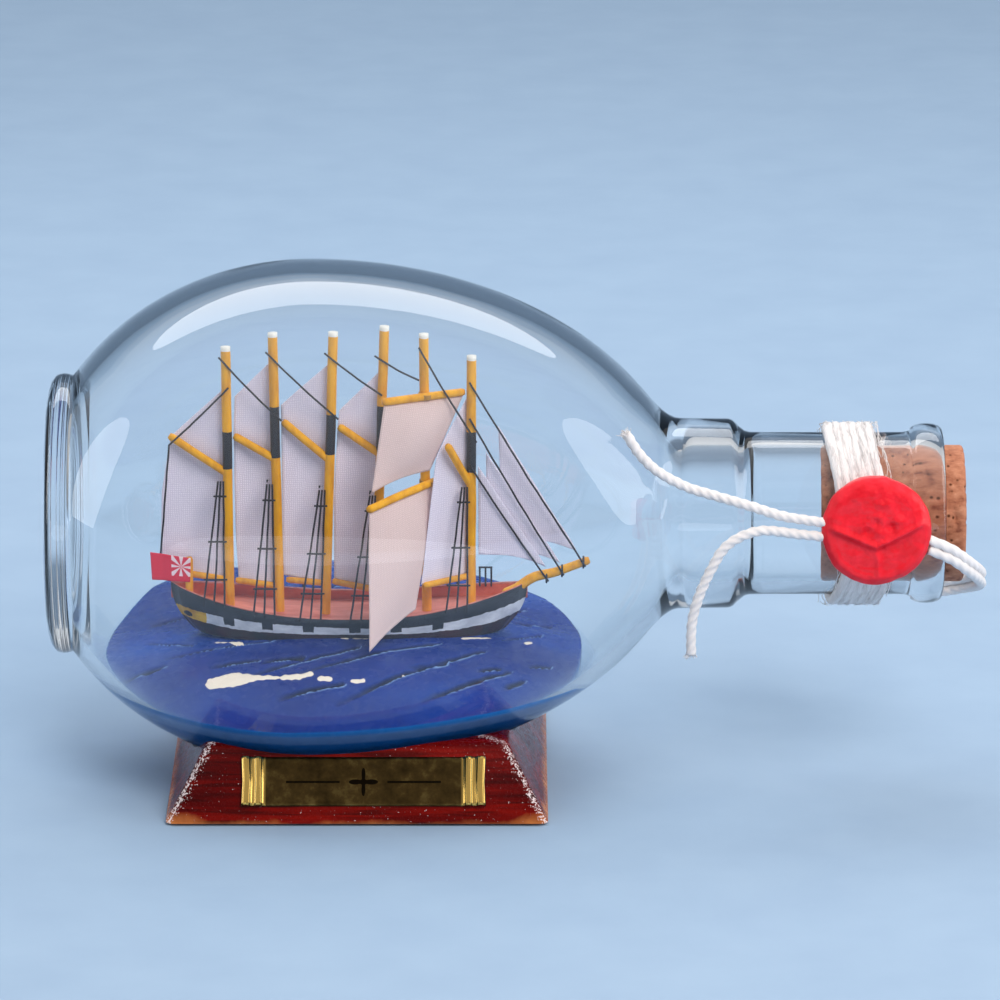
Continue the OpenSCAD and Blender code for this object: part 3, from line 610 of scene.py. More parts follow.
# ---------------------------------------------------------------------------
# Wax seal
# Red sealing wax dripped over the cord and pressed with a plain shield stamp:
# a raised chevron over two sunk facets, with soft squeezed edges.
# ---------------------------------------------------------------------------
seal_x = mouth_x - 12 * MM
seal_r = 9.15
seal_lean = math.radians(10)
seal_out = Vector((0, -math.cos(seal_lean), math.sin(seal_lean)))
seal_up = Vector((0, math.sin(seal_lean), math.cos(seal_lean)))
seal_root = Vector((seal_x, (-15.4 + 6) * MM, axis_z + 0.4 * MM))
wax_bed = 15.42 * MM


def bump_at(x, y, at_x, at_y, wide):
    return math.exp(-((x - at_x) ** 2 + (y - at_y) ** 2) / wide ** 2)


def wax_height(x, y):
    """Height of the wax's face above its root, in millimetres."""
    r = math.hypot(x, y)
    h = 9.15 + 0.35 * (1 - (r / seal_r) ** 2) - 1.5 * max(0.0, r / seal_r - 0.72) ** 2 / 0.08
    arm = 0.42 * abs(x) ** 1.04 - 2.5 + 0.05 * x
    side = (y - arm) / 1.09
    fade = max(0.0, min(1.0, (8.3 - r) / 1.2))
    h += fade * 0.55 * math.exp(-(side / 0.5) ** 2)
    h -= fade * 0.6 / (1 + math.exp((side + 0.6) * 5))
    h += fade * 0.4 * math.exp(-((x + 0.1 * side) / 0.55) ** 2) / (1 + math.exp((side + 0.9) * 4))
    h -= 0.6 * bump_at(x, y, -1.7, 0.0, 0.75) + 0.6 * bump_at(x, y, 2.4, 0.8, 0.7)
    h += 0.35 * bump_at(x, y, 0.3, -0.3, 0.8) + 0.3 * bump_at(x, y, -2.6, 1.2, 0.9)
    h += 0.3 * bump_at(x, y, 3.4, 1.9, 1.0) + 0.4 * bump_at(x, y, 0.7, 4.6, 0.7)
    h += 0.35 * bump_at(x, y, 1.9, 4.9, 0.6) + 0.3 * bump_at(x, y, 0.6, 2.6, 0.8)
    h -= 0.4 * bump_at(x, y, -4.6, 3.0, 1.9) + 0.25 * bump_at(x, y, 4.6, 4.2, 1.5)
    h -= 0.3 * bump_at(x, y, 0.0, 1.6, 0.5)
    return h + 0.2 * noise.noise(Vector((x * 0.6, y * 0.6, 0))) + 0.09 * noise.noise(
        Vector((x * 2.1, y * 2.1, 5)))


wax_bm = bmesh.new()
rings, steps = 96, 168
bmesh.ops.create_grid(wax_bm, x_segments=rings, y_segments=steps, size=0.5)
for v in wax_bm.verts:
    s, a = v.co.x + 0.5, math.tau * (v.co.y + 0.5)
    turn = Vector((math.cos(a), math.sin(a), 0))
    rim = seal_r * (0.995 + 0.03 * noise.noise(turn * 1.6 + Vector((0, 0, 9)))
                    + 0.022 * noise.noise(turn * 4.5))
    face = min(1.0, s / 0.62)
    r = rim * min(face, 1.0) ** 0.94
    x, y = r * math.cos(a), r * math.sin(a)
    top = wax_height(x * seal_r / rim, y * seal_r / rim)
    if s <= 0.62:
        place = seal_root + seal_out * top * MM
    elif s <= 0.8:
        t = (s - 0.62) / 0.18
        swell = 1 + 0.035 * math.sin(math.pi * t) - 0.06 * t
        x, y = x * swell, y * swell
        place = seal_root + seal_out * top * MM
        flat = place + Vector((1, 0, 0)) * x * MM + seal_up * y * MM
        deep = math.sqrt(max(0.0, wax_bed ** 2 - (flat.z - axis_z) ** 2))
        place = place + seal_out * ((-flat.y - deep) * -t)
    else:
        shrink = 1 - (s - 0.8) / 0.2
        x, y = x * 0.94 * shrink, y * 0.94 * shrink
        place = seal_root
    v.co = place + Vector((1, 0, 0)) * x * MM + seal_up * y * MM
    if s > 0.8:
        v.co.y = -math.sqrt(max(0.0, wax_bed ** 2 - (v.co.z - axis_z) ** 2))
bmesh.ops.remove_doubles(wax_bm, verts=wax_bm.verts[:], dist=0.004 * MM)
wax_look, tree, shader = new_material("sealing_wax", srgb("#dd1f30"), 0.36)
settle(shader, Coat_Weight=0.1, Coat_Roughness=0.3, Specular_IOR_Level=0.3)
coords = on_object(tree)
cloud = speckle(tree, coords, 420, 4)
join(tree, ramp(tree, cloud, [(0.35, srgb("#dc1122")), (0.65, srgb("#ee2233"))]).outputs[0],
     shader.inputs["Base Color"])
grit = speckle(tree, coords, 2600, 3)
join(tree, ramp(tree, grit, [(0.4, (0.3, 0.3, 0.3)), (0.7, (0.46, 0.46, 0.46))]).outputs[0],
     shader.inputs["Roughness"])
relief(tree, shader, grit, 0.35, 0.05)
put(new_object("pressed_wax", wax_bm), "bottle", wax_look, "wax_seal")

# ---------------------------------------------------------------------------
# Stand
# A sloped block of hardwood with its corners planed off, hollowed on top to
# take the bottle, and finished in dark red varnish that is rubbed pale below.
# ---------------------------------------------------------------------------
stand_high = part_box("stand_block")[1]
half_l, half_w, stand_h = stand_high[0], stand_high[1], stand_high[2]
lean = 0.565 * stand_h
block = bmesh.new()
foot = bmesh.ops.create_grid(block, x_segments=1, y_segments=1, size=1)["verts"]
for v in foot:
    v.co = Vector((math.copysign(half_l, v.co.x), math.copysign(half_w, v.co.y), 0.35 * MM))
top = bmesh.ops.extrude_face_region(block, geom=block.faces[:])["geom"]
for v in top:
    if isinstance(v, bmesh.types.BMVert):
        v.co = Vector((math.copysign(half_l - lean, v.co.x),
                       math.copysign(half_w - lean, v.co.y), stand_h))
bmesh.ops.recalc_face_normals(block, faces=block.faces[:])


def steep(e):
    return abs(e.verts[0].co.z - e.verts[1].co.z) > 1 * MM


def bevelled(bm, edges, wide, segments):
    bmesh.ops.bevel(bm, geom=edges, offset=wide, offset_type="OFFSET", segments=segments,
                    profile=0.5, affect="EDGES", clamp_overlap=True)


bevelled(block, [e for e in block.edges if steep(e)], 1.35 * MM, 4)
bevelled(block, [e for e in block.edges if not steep(e) and
                 min(v.co.z for v in e.verts) > stand_h - 0.1 * MM], 0.8 * MM, 3)
bevelled(block, [e for e in block.edges if max(v.co.z for v in e.verts) < 0.5 * MM], 0.3 * MM, 2)
stand = new_object("varnished_stand", block, smooth=False)
hollow_bm = bmesh.new()
turned(hollow_bm, [(foot_x - 3 * MM, 0), (foot_x - 2 * MM, foot_r)]
       + [(x, r + 0.3 * MM) for x, r in body_arc(foot_x + 2 * MM, shoulder_x, 0, 70)]
       + [(shoulder_x + 4 * MM, 0)], 180)
hollow = new_object("hollow_cutter", hollow_bm)
cut = stand.modifiers.new("hollow", "BOOLEAN")
cut.object = hollow
cut.operation = "DIFFERENCE"
cut.solver = "EXACT"
bpy.context.view_layer.update()
hollowed = bpy.data.meshes.new_from_object(
    stand.evaluated_get(bpy.context.evaluated_depsgraph_get()))
stand.modifiers.clear()
stand.data = hollowed
bpy.data.objects.remove(hollow)
hollowed.shade_smooth()
hollowed.set_sharp_from_angle(angle=math.radians(24))

wood_look, tree, shader = new_material("red_varnish", srgb("#4d0c08"), 0.24)
settle(shader, Coat_Weight=0.1, Coat_Roughness=0.06, Specular_IOR_Level=0.1)
coords = on_object(tree)
grain = speckle(tree, coords, 210, 5, 0.6, (0.12, 1.0, 1.4))
pores = speckle(tree, coords, 900, 2, 0.5, (0.08, 1.0, 1.6))
wood = ramp(tree, grain, [(0.30, srgb("#2e0102")), (0.50, srgb("#560302")),
                          (0.72, srgb("#860e04"))]).outputs[0]
pits = ramp(tree, pores, [(0.36, (0.55, 0.55, 0.55)), (0.5, (0, 0, 0))]).outputs[0]
wood = blend_colour(tree, pits, wood, srgb("#1d0303"))
place = add(tree, "ShaderNodeSeparateXYZ", Vector=coords)
blotch = speckle(tree, coords, 130, 4)
low = sums(tree, "MULTIPLY_ADD", place.outputs[2], -1 / (2.6 * MM), 0.45)
corner = sums(tree, "MULTIPLY_ADD", sums(tree, "ABSOLUTE", place.outputs[0]), 1 / (16 * MM), -1.35)
worn = sums(tree, "ADD", low, sums(tree, "MAXIMUM", corner, 0.0))
worn = sums(tree, "ADD", worn, sums(tree, "MULTIPLY_ADD", blotch, 1.6, -0.75))
pale = ramp(tree, worn, [(0.15, (0, 0, 0)), (0.95, (1, 1, 1))]).outputs[0]
tan = ramp(tree, grain, [(0.3, srgb("#a3431a")), (0.7, srgb("#d08a4c"))]).outputs[0]
wood = blend_colour(tree, pale, wood, tan)
dust = speckle(tree, coords, 1500, 2)
# Painted highlight: pale glint specks are coloured into the varnish along the slanted corner edges.
from_end = sums(tree, "SUBTRACT", half_l, sums(tree, "ABSOLUTE", place.outputs[0]))
from_side = sums(tree, "SUBTRACT", half_w, sums(tree, "ABSOLUTE", place.outputs[1]))
from_edge = sums(tree, "ABSOLUTE", sums(tree, "SUBTRACT", from_end, from_side))
near_edge = sums(tree, "MULTIPLY_ADD", from_edge, -1 / (2.2 * MM), 1.0, clamp=True)
painted_edge_glint = sums(tree, "MULTIPLY_ADD", near_edge, 0.24, speckle(tree, coords, 2600, 2, 0.7))
painted_edge_glint = ramp(tree, painted_edge_glint, [(0.70, (0, 0, 0)), (0.74, (0.8, 0.8, 0.8))]).outputs[0]
join(tree, blend_colour(tree, painted_edge_glint, wood, srgb("#e8dcdc")), shader.inputs["Base Color"])
join(tree, ramp(tree, dust, [(0.35, (0.2, 0.2, 0.2)), (0.8, (0.4, 0.4, 0.4))]).outputs[0],
     shader.inputs["Roughness"])
orange_peel = add(tree, "ShaderNodeBump", Height=sums(tree, "MULTIPLY_ADD", dust, 0.5, grain),
                  Strength=0.22, Distance=0.12 * MM)
join(tree, orange_peel.outputs[0], shader.inputs["Normal"])
join(tree, orange_peel.outputs[0], shader.inputs["Coat Normal"])
put(stand, "stand", wood_look, "stand_block")
stand.visible_glossy = False  # keeps a dark shape out of the bright glass

# ---------------------------------------------------------------------------
# Name plate
# A strip of thin brass tacked to the front slope, with each end rolled out
# into a double bead. It is engraved with a small compass star and two lines.
# ---------------------------------------------------------------------------
plate_half = 20.35
plate_low, plate_tall = 2.9, 8.4
slope_rise = math.atan2(stand_h - 0.6 * MM, lean)
on_slope = (Matrix.Translation((1.1 * MM, -half_w, 0.6 * MM))
            @ Matrix.Rotation(slope_rise, 4, "X"))


def plate_lift(x):
    """Height of the brass above the slope, x millimetres from the plate's middle."""
    inward = plate_half - abs(x)
    shape = ((0, 0.12), (0.12, 0.75), (0.45, 1.12), (0.8, 1.2), (1.2, 1.02), (1.55, 0.55),
             (1.8, 0.38), (2.1, 0.5), (2.45, 0.95), (2.8, 1.1), (3.15, 0.92), (3.45, 0.45),
             (3.65, 0.22), (4.2, 0.18), (50, 0.18))
    for (x0, z0), (x1, z1) in zip(shape, shape[1:]):
        if inward <= x1:
            t = (inward - x0) / (x1 - x0)
            return z0 + (z1 - z0) * t * t * (3 - 2 * t)
    return 0.18


plate_bm = bmesh.new()
across = [-plate_half + 0.06 * k for k in range(75)]
across += [-15.9 + 31.8 * k / 60 for k in range(61)]
across += [plate_half - 0.06 * k for k in range(74, -1, -1)]
bmesh.ops.create_grid(plate_bm, x_segments=len(across) - 1, y_segments=16, size=0.5)
for v in plate_bm.verts:
    i = round((v.co.x + 0.5) * (len(across) - 1))
    t = v.co.y + 0.5
    x = across[i]
    end = max(0.0, abs(x) - 15.8) / 4.55
    spread = x + math.copysign(0.35 * (0.5 - t) * end, x)
    dent = 0.08 * end * noise.noise(Vector((x * 1.3, t * 3, 4)))
    dent += 0.03 * noise.noise(Vector((x * 0.35, t * 2, 8)))
    v.co = Vector((spread, plate_low + plate_tall * t, plate_lift(x) + dent + 0.06)) * MM
    v.co = on_slope @ v.co
plate = new_object("brass_plate", plate_bm)
thick = plate.modifiers.new("sheet", "SOLIDIFY")
thick.thickness = 0.2 * MM
thick.offset = -1
brass_look, tree, shader = new_material("aged_brass", srgb("#b59a55"), 0.34)
shader.inputs["Metallic"].default_value = 1.0
coords = on_object(tree)
tarnish = speckle(tree, coords, 330, 6, 0.65)
brush = speckle(tree, coords, 1400, 2, 0.5, (0.06, 1.0, 1.0))
# Painted shade and tarnish: the flat brass is coloured dark olive.
brass_shade_and_highlight = ramp(tree, tarnish, [(0.3, srgb("#3c2d17")), (0.55, srgb("#5c4726")),
                             (0.75, srgb("#8a7342"))]).outputs[0]
place = add(tree, "ShaderNodeSeparateXYZ", Vector=coords)
off_x = sums(tree, "ABSOLUTE", sums(tree, "SUBTRACT", place.outputs[0], 1.1 * MM))
# Painted highlight: the rolled ends are coloured bright gold.
ends = sums(tree, "MULTIPLY_ADD", off_x, 1 / (0.5 * MM), -32.6, clamp=True)
brass_shade_and_highlight = blend_colour(tree, ends, brass_shade_and_highlight, srgb("#f0c368"))
off_z = sums(tree, "SUBTRACT", place.outputs[2], (0.6 + 7.15 * math.sin(slope_rise)) * MM)
arc = sums(tree, "ARCTAN2", off_z, sums(tree, "SUBTRACT", place.outputs[0], 1.1 * MM))
star_r = sums(tree, "SQRT", sums(tree, "ADD", sums(tree, "POWER", off_x, 2.0),
                                 sums(tree, "POWER", sums(tree, "MULTIPLY", off_z, 1.18), 2.0)))
points = sums(tree, "ABSOLUTE", sums(tree, "COSINE", sums(tree, "MULTIPLY", arc, 2.0)))
reach = sums(tree, "MULTIPLY_ADD", sums(tree, "POWER", points, 5.0), 1.9 * MM, 0.55 * MM)
star = sums(tree, "LESS_THAN", star_r, reach)
thin = sums(tree, "LESS_THAN", sums(tree, "ABSOLUTE", off_z), 0.16 * MM)
beside = sums(tree, "MULTIPLY", sums(tree, "GREATER_THAN", off_x, 4.0 * MM),
              sums(tree, "LESS_THAN", off_x, 13.0 * MM))
mark = sums(tree, "MAXIMUM", star, sums(tree, "MULTIPLY", thin, beside))
join(tree, blend_colour(tree, mark, brass_shade_and_highlight, srgb("#1c150c")), shader.inputs["Base Color"])
rough = ramp(tree, tarnish, [(0.3, (0.5, 0.5, 0.5)), (0.75, (0.26, 0.26, 0.26))]).outputs[0]
join(tree, blend_colour(tree, ends, rough, (0.16, 0.16, 0.16)), shader.inputs["Roughness"])
depth = sums(tree, "MULTIPLY_ADD", mark, -1.5, sums(tree, "MULTIPLY_ADD", brush, 0.4, tarnish))
relief(tree, shader, depth, 0.3, 0.05)
put(plate, "stand", brass_look, "name_plate")
plate.visible_glossy = False

# ---------------------------------------------------------------------------
# Sea
# Blue putty pressed into the lower side of the bottle against the glass, and
# scored with a blunt tool into waves. Dabs of cream paint make the foam.
# ---------------------------------------------------------------------------
putty_top, mound_r, bank_r = -19.2, 167.0, 50.8
sea_mid, sea_round = -3.2, 41.6
furrows = [(-32.6, -8.7, -15.1, -7.9), (-24.5, -13.8, -17.1, -13.4), (-16.3, -14.1, -9.5, -13.4),
           (-17.4, -17.3, -0.4, -11.2), (-9.5, -17.8, 13.2, -8.9), (-13.1, -23.1, -2.7, -20.7),
           (-3.2, -24.7, 20.9, -10.3), (10.9, -23.7, 25.1, -15.2), (20.2, -15.7, 23.4, -14.7),
           (-36.5, -0.5, -28.5, -5.0), (24.5, -18.9, 27.4, -16.9), (8.7, -16.5, 14.3, -14.9),
           (24.5, -4.5, 30.6, -0.4), (28.7, -12.3, 31.9, -11.5), (-39.6, -13.2, -33.0, -11.3),
           (26.5, 4.8, 32.6, 6.6), (-36.0, 7.9, -27.0, 10.5), (-24.0, 10.9, -12.0, 15.2),
           (-6.0, 11.2, 5.0, 15.5), (9.0, 12.0, 18.0, 16.1), (21.0, 9.4, 28.0, 13.1),
           (-30.0, 15.3, -19.0, 18.5), (-12.0, 18.5, 2.0, 21.0), (8.0, 18.5, 17.0, 20.6)]
foam_dabs = [(-24.1, -18.3, -20.6, -18.0, 1.4, 1.68), (-20.6, -18.0, -17.0, -18.4, 1.6, 0.72),
             (-17.0, -18.4, -12.6, -18.8, 0.6, 0.32), (-12.6, -18.8, -9.9, -18.8, 0.48, 0.76),
             (-9.9, -18.7, -8.1, -18.4, 0.72, 0.56), (-6.2, -19.7, -4.6, -19.9, 0.6, 0.48),
             (-0.8, -20.2, 0.9, -20.1, 0.4, 0.36), (7.6, -18.2, 8.4, -18.1, 0.24, 0.24),
             (28.4, -5.2, 28.9, -4.8, 0.56, 0.48), (17.6, -6.4, 22.2, -4.9, 0.4, 0.2),
             (-24.5, -6.1, -19.8, -7.7, 0.16, 0.32), (-3.0, -8.2, 2.0, -8.3, 0.12, 0.16)]


def along_line(x, y, x0, y0, x1, y1):
    """How far along a line a place is, from 0 to 1, and how far from it."""
    long = (x1 - x0) ** 2 + (y1 - y0) ** 2
    t = max(0.0, min(1.0, ((x - x0) * (x1 - x0) + (y - y0) * (y1 - y0)) / long))
    return t, math.hypot(x - x0 - t * (x1 - x0), y - y0 - t * (y1 - y0))


def mound(x, y):
    """Level under the ship, rounded down towards the front and heaped at the back left."""
    z = putty_top - mound_r + math.sqrt(mound_r ** 2 - x * x)
    if y < 0:
        return z - bank_r + math.sqrt(max(0.0, bank_r ** 2 - y * y))
    t = min(1.0, y / 24)
    return z + 2.6 * t * t * math.exp(-((x + 36) / 13) ** 2)


def room_at(x, y):
    """Room left for the putty at a place, which is pressed hard onto the glass."""
    r = body_radius(x * MM, wall) / MM + 0.06
    return r * r - y * y


def sea_edge(a):
    near, far = 5.0, sea_round
    for _ in range(30):
        r = (near + far) / 2
        x, y = sea_mid + r * math.cos(a), r * math.sin(a)
        if room_at(x, y) > mound(x, y) ** 2:
            near = r
        else:
            far = r
    return near


def close_to(x, y, x0, y0, x1, y1, room=3):
    return (min(x0, x1) - room < x < max(x0, x1) + room
            and min(y0, y1) - room < y < max(y0, y1) + room)


def sea_surface(x, y):
    z = mound(x, y) + 0.34 * noise.noise(Vector((x * 0.11, y * 0.16, 2)))
    z += 0.07 * noise.noise(Vector((x * 0.4, y * 0.7, 6)))
    crest_light_shade = groove = 0.0
    for x0, y0, x1, y1 in furrows:
        if close_to(x, y, x0, y0, x1, y1):
            t, d = along_line(x, y, x0, y0, x1, y1)
            if d < 2.6:
                below = (x - x0) * (y1 - y0) > (y - y0) * (x1 - x0)
                d += 0.16 * noise.noise(Vector((x * 0.7, y * 0.7, x0)))
                fade = min(1.0, 0.25 + 2.2 * t)
                lip = math.exp(-((d - 0.8) / 0.18) ** 2) * fade * (1.0 if below else 0.3)
                trough = math.exp(-(d / 0.62) ** 2) * fade
                z += 0.42 * lip - 0.65 * trough
                crest_light_shade = max(crest_light_shade, lip)
                groove = max(groove, trough)
    foam = 0.0
    for x0, y0, x1, y1, r0, r1 in foam_dabs:
        if close_to(x, y, x0, y0, x1, y1):
            t, d = along_line(x, y, x0, y0, x1, y1)
            d += 0.3 * noise.noise(Vector((x * 1.1, y * 1.1, 1)))
            foam = max(foam, min(1.0, max(0.0, 0.5 + (r0 + (r1 - r0) * t - d) / 0.5)))
    z += 0.22 * foam
    return z, 0.5 + 0.5 * crest_light_shade - 0.5 * groove, foam


sea_bm = bmesh.new()
sea_steps, sea_rings, brim = 420, 150, 0.86
bmesh.ops.create_grid(sea_bm, x_segments=sea_rings, y_segments=sea_steps, size=0.5)
crest_light_shade_layer = sea_bm.verts.layers.float.new("crest_light_shade")
foam_layer = sea_bm.verts.layers.float.new("foam")
side_layer = sea_bm.verts.layers.float.new("side")
edges_at = [sea_edge(math.tau * k / sea_steps) for k in range(sea_steps)] * 2
for v in sea_bm.verts:
    s, k = v.co.x + 0.5, round((v.co.y + 0.5) * sea_steps)
    a = math.tau * k / sea_steps
    wide = edges_at[k]
    if s <= brim:
        r = wide * s / brim
        x, y = sea_mid + r * math.cos(a), r * math.sin(a)
        z, v[crest_light_shade_layer], v[foam_layer] = sea_surface(x, y)
        z = max(z, -math.sqrt(max(0.0, room_at(x, y))))
    else:
        r = wide * (1 - (s - brim) / (1 - brim)) if s < 1 else 0.0
        x, y = sea_mid + r * math.cos(a), r * math.sin(a)
        z = -math.sqrt(max(0.0, room_at(x, y)))
        v[side_layer] = 1.0
        down = (s - brim) / (1 - brim)
        # Painted reflection: two pale lines of light from the glass are coloured along the front of
        # the putty's side.
        rims = math.exp(-((down - 0.07) / 0.04) ** 2) + 0.7 * math.exp(-((down - 0.24) / 0.05) ** 2)
        v[crest_light_shade_layer] = 0.5 + 0.4 * rims * min(1.0, max(0.0, (-y - 6) / 6))
    v.co = Vector((x * MM, y * MM, axis_z + z * MM))
bmesh.ops.remove_doubles(sea_bm, verts=sea_bm.verts[:], dist=0.002 * MM)
sea_look, tree, shader = new_material("blue_putty", srgb("#042574"), 0.3)
settle(shader, Coat_Weight=0.1, Coat_Roughness=0.15, Specular_IOR_Level=0.25)
coords = on_object(tree)
smear = speckle(tree, coords, 55, 3, 0.5, (0.5, 1.0, 1.0))
blue = ramp(tree, smear, [(0.3, srgb("#021f70")), (0.55, srgb("#043088")),
                          (0.8, srgb("#0745a2"))]).outputs[0]
side = layer(tree, "side")
blue = blend_colour(tree, side, blue, srgb("#1768b4"))
crest_light_shade = layer(tree, "crest_light_shade")
foam = layer(tree, "foam")
# Painted highlight: the lips of the scored waves are coloured pale blue.
painted_lip_highlight = ramp(tree, crest_light_shade, [(0.66, (0, 0, 0)), (0.9, (0.9, 0.9, 0.9))]).outputs[0]
# Painted shade: the bottoms of the furrows are coloured nearly black.
deep = ramp(tree, crest_light_shade, [(0.12, (0.95, 0.95, 0.95)), (0.46, (0, 0, 0))]).outputs[0]
blue = blend_colour(tree, deep, blue, srgb("#010728"))
blue = blend_colour(tree, painted_lip_highlight, blue, srgb("#8fb2e2"))
dab = ramp(tree, foam, [(0.46, (0, 0, 0)), (0.56, (1, 1, 1))]).outputs[0]
join(tree, blend_colour(tree, dab, blue, srgb("#f3e5d3")), shader.inputs["Base Color"])
fine = speckle(tree, coords, 420, 3, 0.5)
join(tree, ramp(tree, fine, [(0.35, (0.2, 0.2, 0.2)), (0.7, (0.34, 0.34, 0.34))]).outputs[0],
     shader.inputs["Roughness"])
relief(tree, shader, fine, 0.12, 0.14)
put(new_object("scored_sea", sea_bm), "bottle", sea_look, "sea_putty")

# ---------------------------------------------------------------------------
# Hull and deck
# Carved from one small block and painted by hand: black wale, a white band
# with square ports, ochre at the stern, and brick red inside the bulwarks.
# ---------------------------------------------------------------------------
hull_mid, hull_half, half_wide = -1.8, 30.0, 8.2
deck_mid, rail_mid = -18.0, -16.35
port_places = [-22.2, -15.5, -8.5, -0.7, 6.3, 13.4]
band_top = [(-34, -15.9), (-29, -16.2), (-20, -16.9), (-11, -17.45), (0, -17.95), (8, -17.9),
            (16, -17.3), (23, -16.2), (28, -15.1), (33, -14.0)]
band_foot = [(-34, -17.9), (-29, -18.15), (-20, -18.75), (-11, -19.0), (0, -19.15), (10, -19.1),
             (17, -18.85), (23, -18.4), (28, -17.5), (33, -16.4)]


def between(table, x):
    for (x0, z0), (x1, z1) in zip(table, table[1:]):
        if x <= x1:
            return z0 + (z1 - z0) * (x - x0) / (x1 - x0)
    return table[-1][1]


def hull_reach(x):
    return (x - hull_mid) / hull_half


def half_beam(x):
    u = hull_reach(x)
    wide = half_wide * (1 - min(1.0, abs(u)) ** (3.4 if u < 0 else 2.8)) + 0.6
    return wide * math.sqrt(max(0.0, min(1.0, (1.012 - abs(u)) / 0.05)))


def rail_z(x):
    return rail_mid + 4 * hull_reach(x) ** 2


def deck_z(x):
    return deck_mid + 3.2 * hull_reach(x) ** 2


hull_bm = bmesh.new()
side_steps = [0.0, 0.0, 0.03, 0.08, 0.15] + [0.15 + 0.05 * k for k in range(1, 17)] + [0.97, 1.0]
half_count = len(side_steps) + 9
long_steps = 250
bmesh.ops.create_grid(hull_bm, x_segments=long_steps, y_segments=2 * half_count - 1, size=0.5)
band_layer = hull_bm.verts.layers.float.new("band")
port_layer = hull_bm.verts.layers.float.new("port")
zone_layer = hull_bm.verts.layers.float.new("zone")
for v in hull_bm.verts:
    i = round((v.co.x + 0.5) * long_steps)
    k = round((v.co.y + 0.5) * (2 * half_count - 1))
    side = -1 if k < half_count else 1
    n = k if k < half_count else 2 * half_count - 1 - k
    x = hull_mid - hull_half * 1.0115 * math.cos(math.pi * i / long_steps)
    w = half_beam(x)
    bottom, rail, floor = -20.6, rail_z(x), deck_z(x) - 0.3
    thin = min(0.55, 0.8 * w)
    if n < len(side_steps):
        t = side_steps[n]
        y = w * (0.86 + 0.14 * min(1.0, t * 1.15) ** 0.75)
        z = bottom + (rail - bottom) * t
        y += 0.05 * noise.noise(Vector((x * 0.3, z * 0.5, side)))
        zone = 0.0
    else:
        m = n - len(side_steps)
        y = w - thin * (0.08, 0.3, 0.7, 0.92, 1, 1, 1, 1, 1)[m]
        z = rail + (0.1, 0.16, 0.16, 0.1, 0.0, 0, 0, 0, 0)[m]
        zone = 1.0 if m < 5 else 2.0
        if m >= 5:
            z = rail + (floor - rail) * (0.05, 0.35, 0.7, 1.0)[m - 5]
        z += 0.05 * noise.noise(Vector((x * 0.8, side, 5)))
    rake = max(0.0, 1 - (z - bottom) / (rail - bottom)) ** 2.15 * min(1.0, abs(hull_reach(x))) ** 3
    along = hull_mid + (x - hull_mid) * (1 - (0.13 * rake if zone == 0 else 0))
    if n == 0 or i in (0, long_steps):
        y = 0.0
    v.co = Vector((along * MM, side * max(0.0, y) * MM, axis_z + z * MM))
    v[band_layer] = (z - between(band_foot, x)) / (between(band_top, x) - between(band_foot, x))
    v[port_layer] = min(abs(x - c) for c in port_places)
    v[zone_layer] = zone
bmesh.ops.remove_doubles(hull_bm, verts=hull_bm.verts[:], dist=0.004 * MM)


def brushed(tree, coords, pale, dark, scale=500):
    """Paint laid on with a small brush: two near tones in streaks along the ship."""
    streak = speckle(tree, coords, scale, 4, 0.6, (0.35, 1.0, 1.0))
    return ramp(tree, streak, [(0.35, srgb(dark)), (0.62, srgb(pale))]).outputs[0]


def brush_marks(tree, coords, shader, strength=0.35):
    height = speckle(tree, coords, 1100, 4, 0.6, (0.4, 1.0, 1.0))
    relief(tree, shader, height, strength, 0.08)


hull_look, tree, shader = new_material("hull_paint", srgb("#1b1b24"), 0.34)
coords = on_object(tree)
at = add(tree, "ShaderNodeSeparateXYZ", Vector=coords)
shake = speckle(tree, coords, 800, 3)
band = layer(tree, "band")
band = sums(tree, "ADD", band, sums(tree, "MULTIPLY_ADD", shake, 0.3, -0.15))
port = layer(tree, "port")
port = sums(tree, "ADD", port, sums(tree, "MULTIPLY_ADD", shake, 0.3, -0.15))
zone = layer(tree, "zone")
low = brushed(tree, coords, "#3a1018", "#120d18")
colour = blend_colour(tree, sums(tree, "GREATER_THAN", band, 0.0), low,
                      brushed(tree, coords, "#dcdfe8", "#b4b8c6"))
stern = sums(tree, "LESS_THAN", sums(tree, "MULTIPLY_ADD", shake, 0.7 * MM, at.outputs[0]),
             -25.6 * MM)
inside = sums(tree, "GREATER_THAN", band, 0.0)
colour = blend_colour(tree, sums(tree, "MULTIPLY", stern, inside), colour,
                      brushed(tree, coords, "#e4b42c", "#b98313"))
square = sums(tree, "MULTIPLY", sums(tree, "LESS_THAN", port, 0.95),
              sums(tree, "GREATER_THAN", band, 0.3))
oval_x = sums(tree, "MULTIPLY_ADD", at.outputs[0], 1 / (0.8 * MM), 29.2 / 0.8)
oval_z = sums(tree, "MULTIPLY_ADD", band, 3.6, -1.5)
oval = sums(tree, "LESS_THAN", sums(tree, "ADD", sums(tree, "MULTIPLY", oval_x, oval_x),
                                    sums(tree, "MULTIPLY", oval_z, oval_z)), 1.0)
dark = sums(tree, "MAXIMUM", sums(tree, "MAXIMUM", square, oval),
            sums(tree, "GREATER_THAN", band, 1.0))
colour = blend_colour(tree, dark, colour, brushed(tree, coords, "#2b2b36", "#0f0f17"))
colour = blend_colour(tree, sums(tree, "GREATER_THAN", zone, 0.6), colour,
                      brushed(tree, coords, "#d68d80", "#a3473a"))
colour = blend_colour(tree, sums(tree, "GREATER_THAN", zone, 1.5), colour,
                      brushed(tree, coords, "#db6e50", "#bb4f3a"))
join(tree, colour, shader.inputs["Base Color"])
brush_marks(tree, coords, shader)
put(new_object("painted_hull", hull_bm), "bottle", hull_look, "ship_hull")

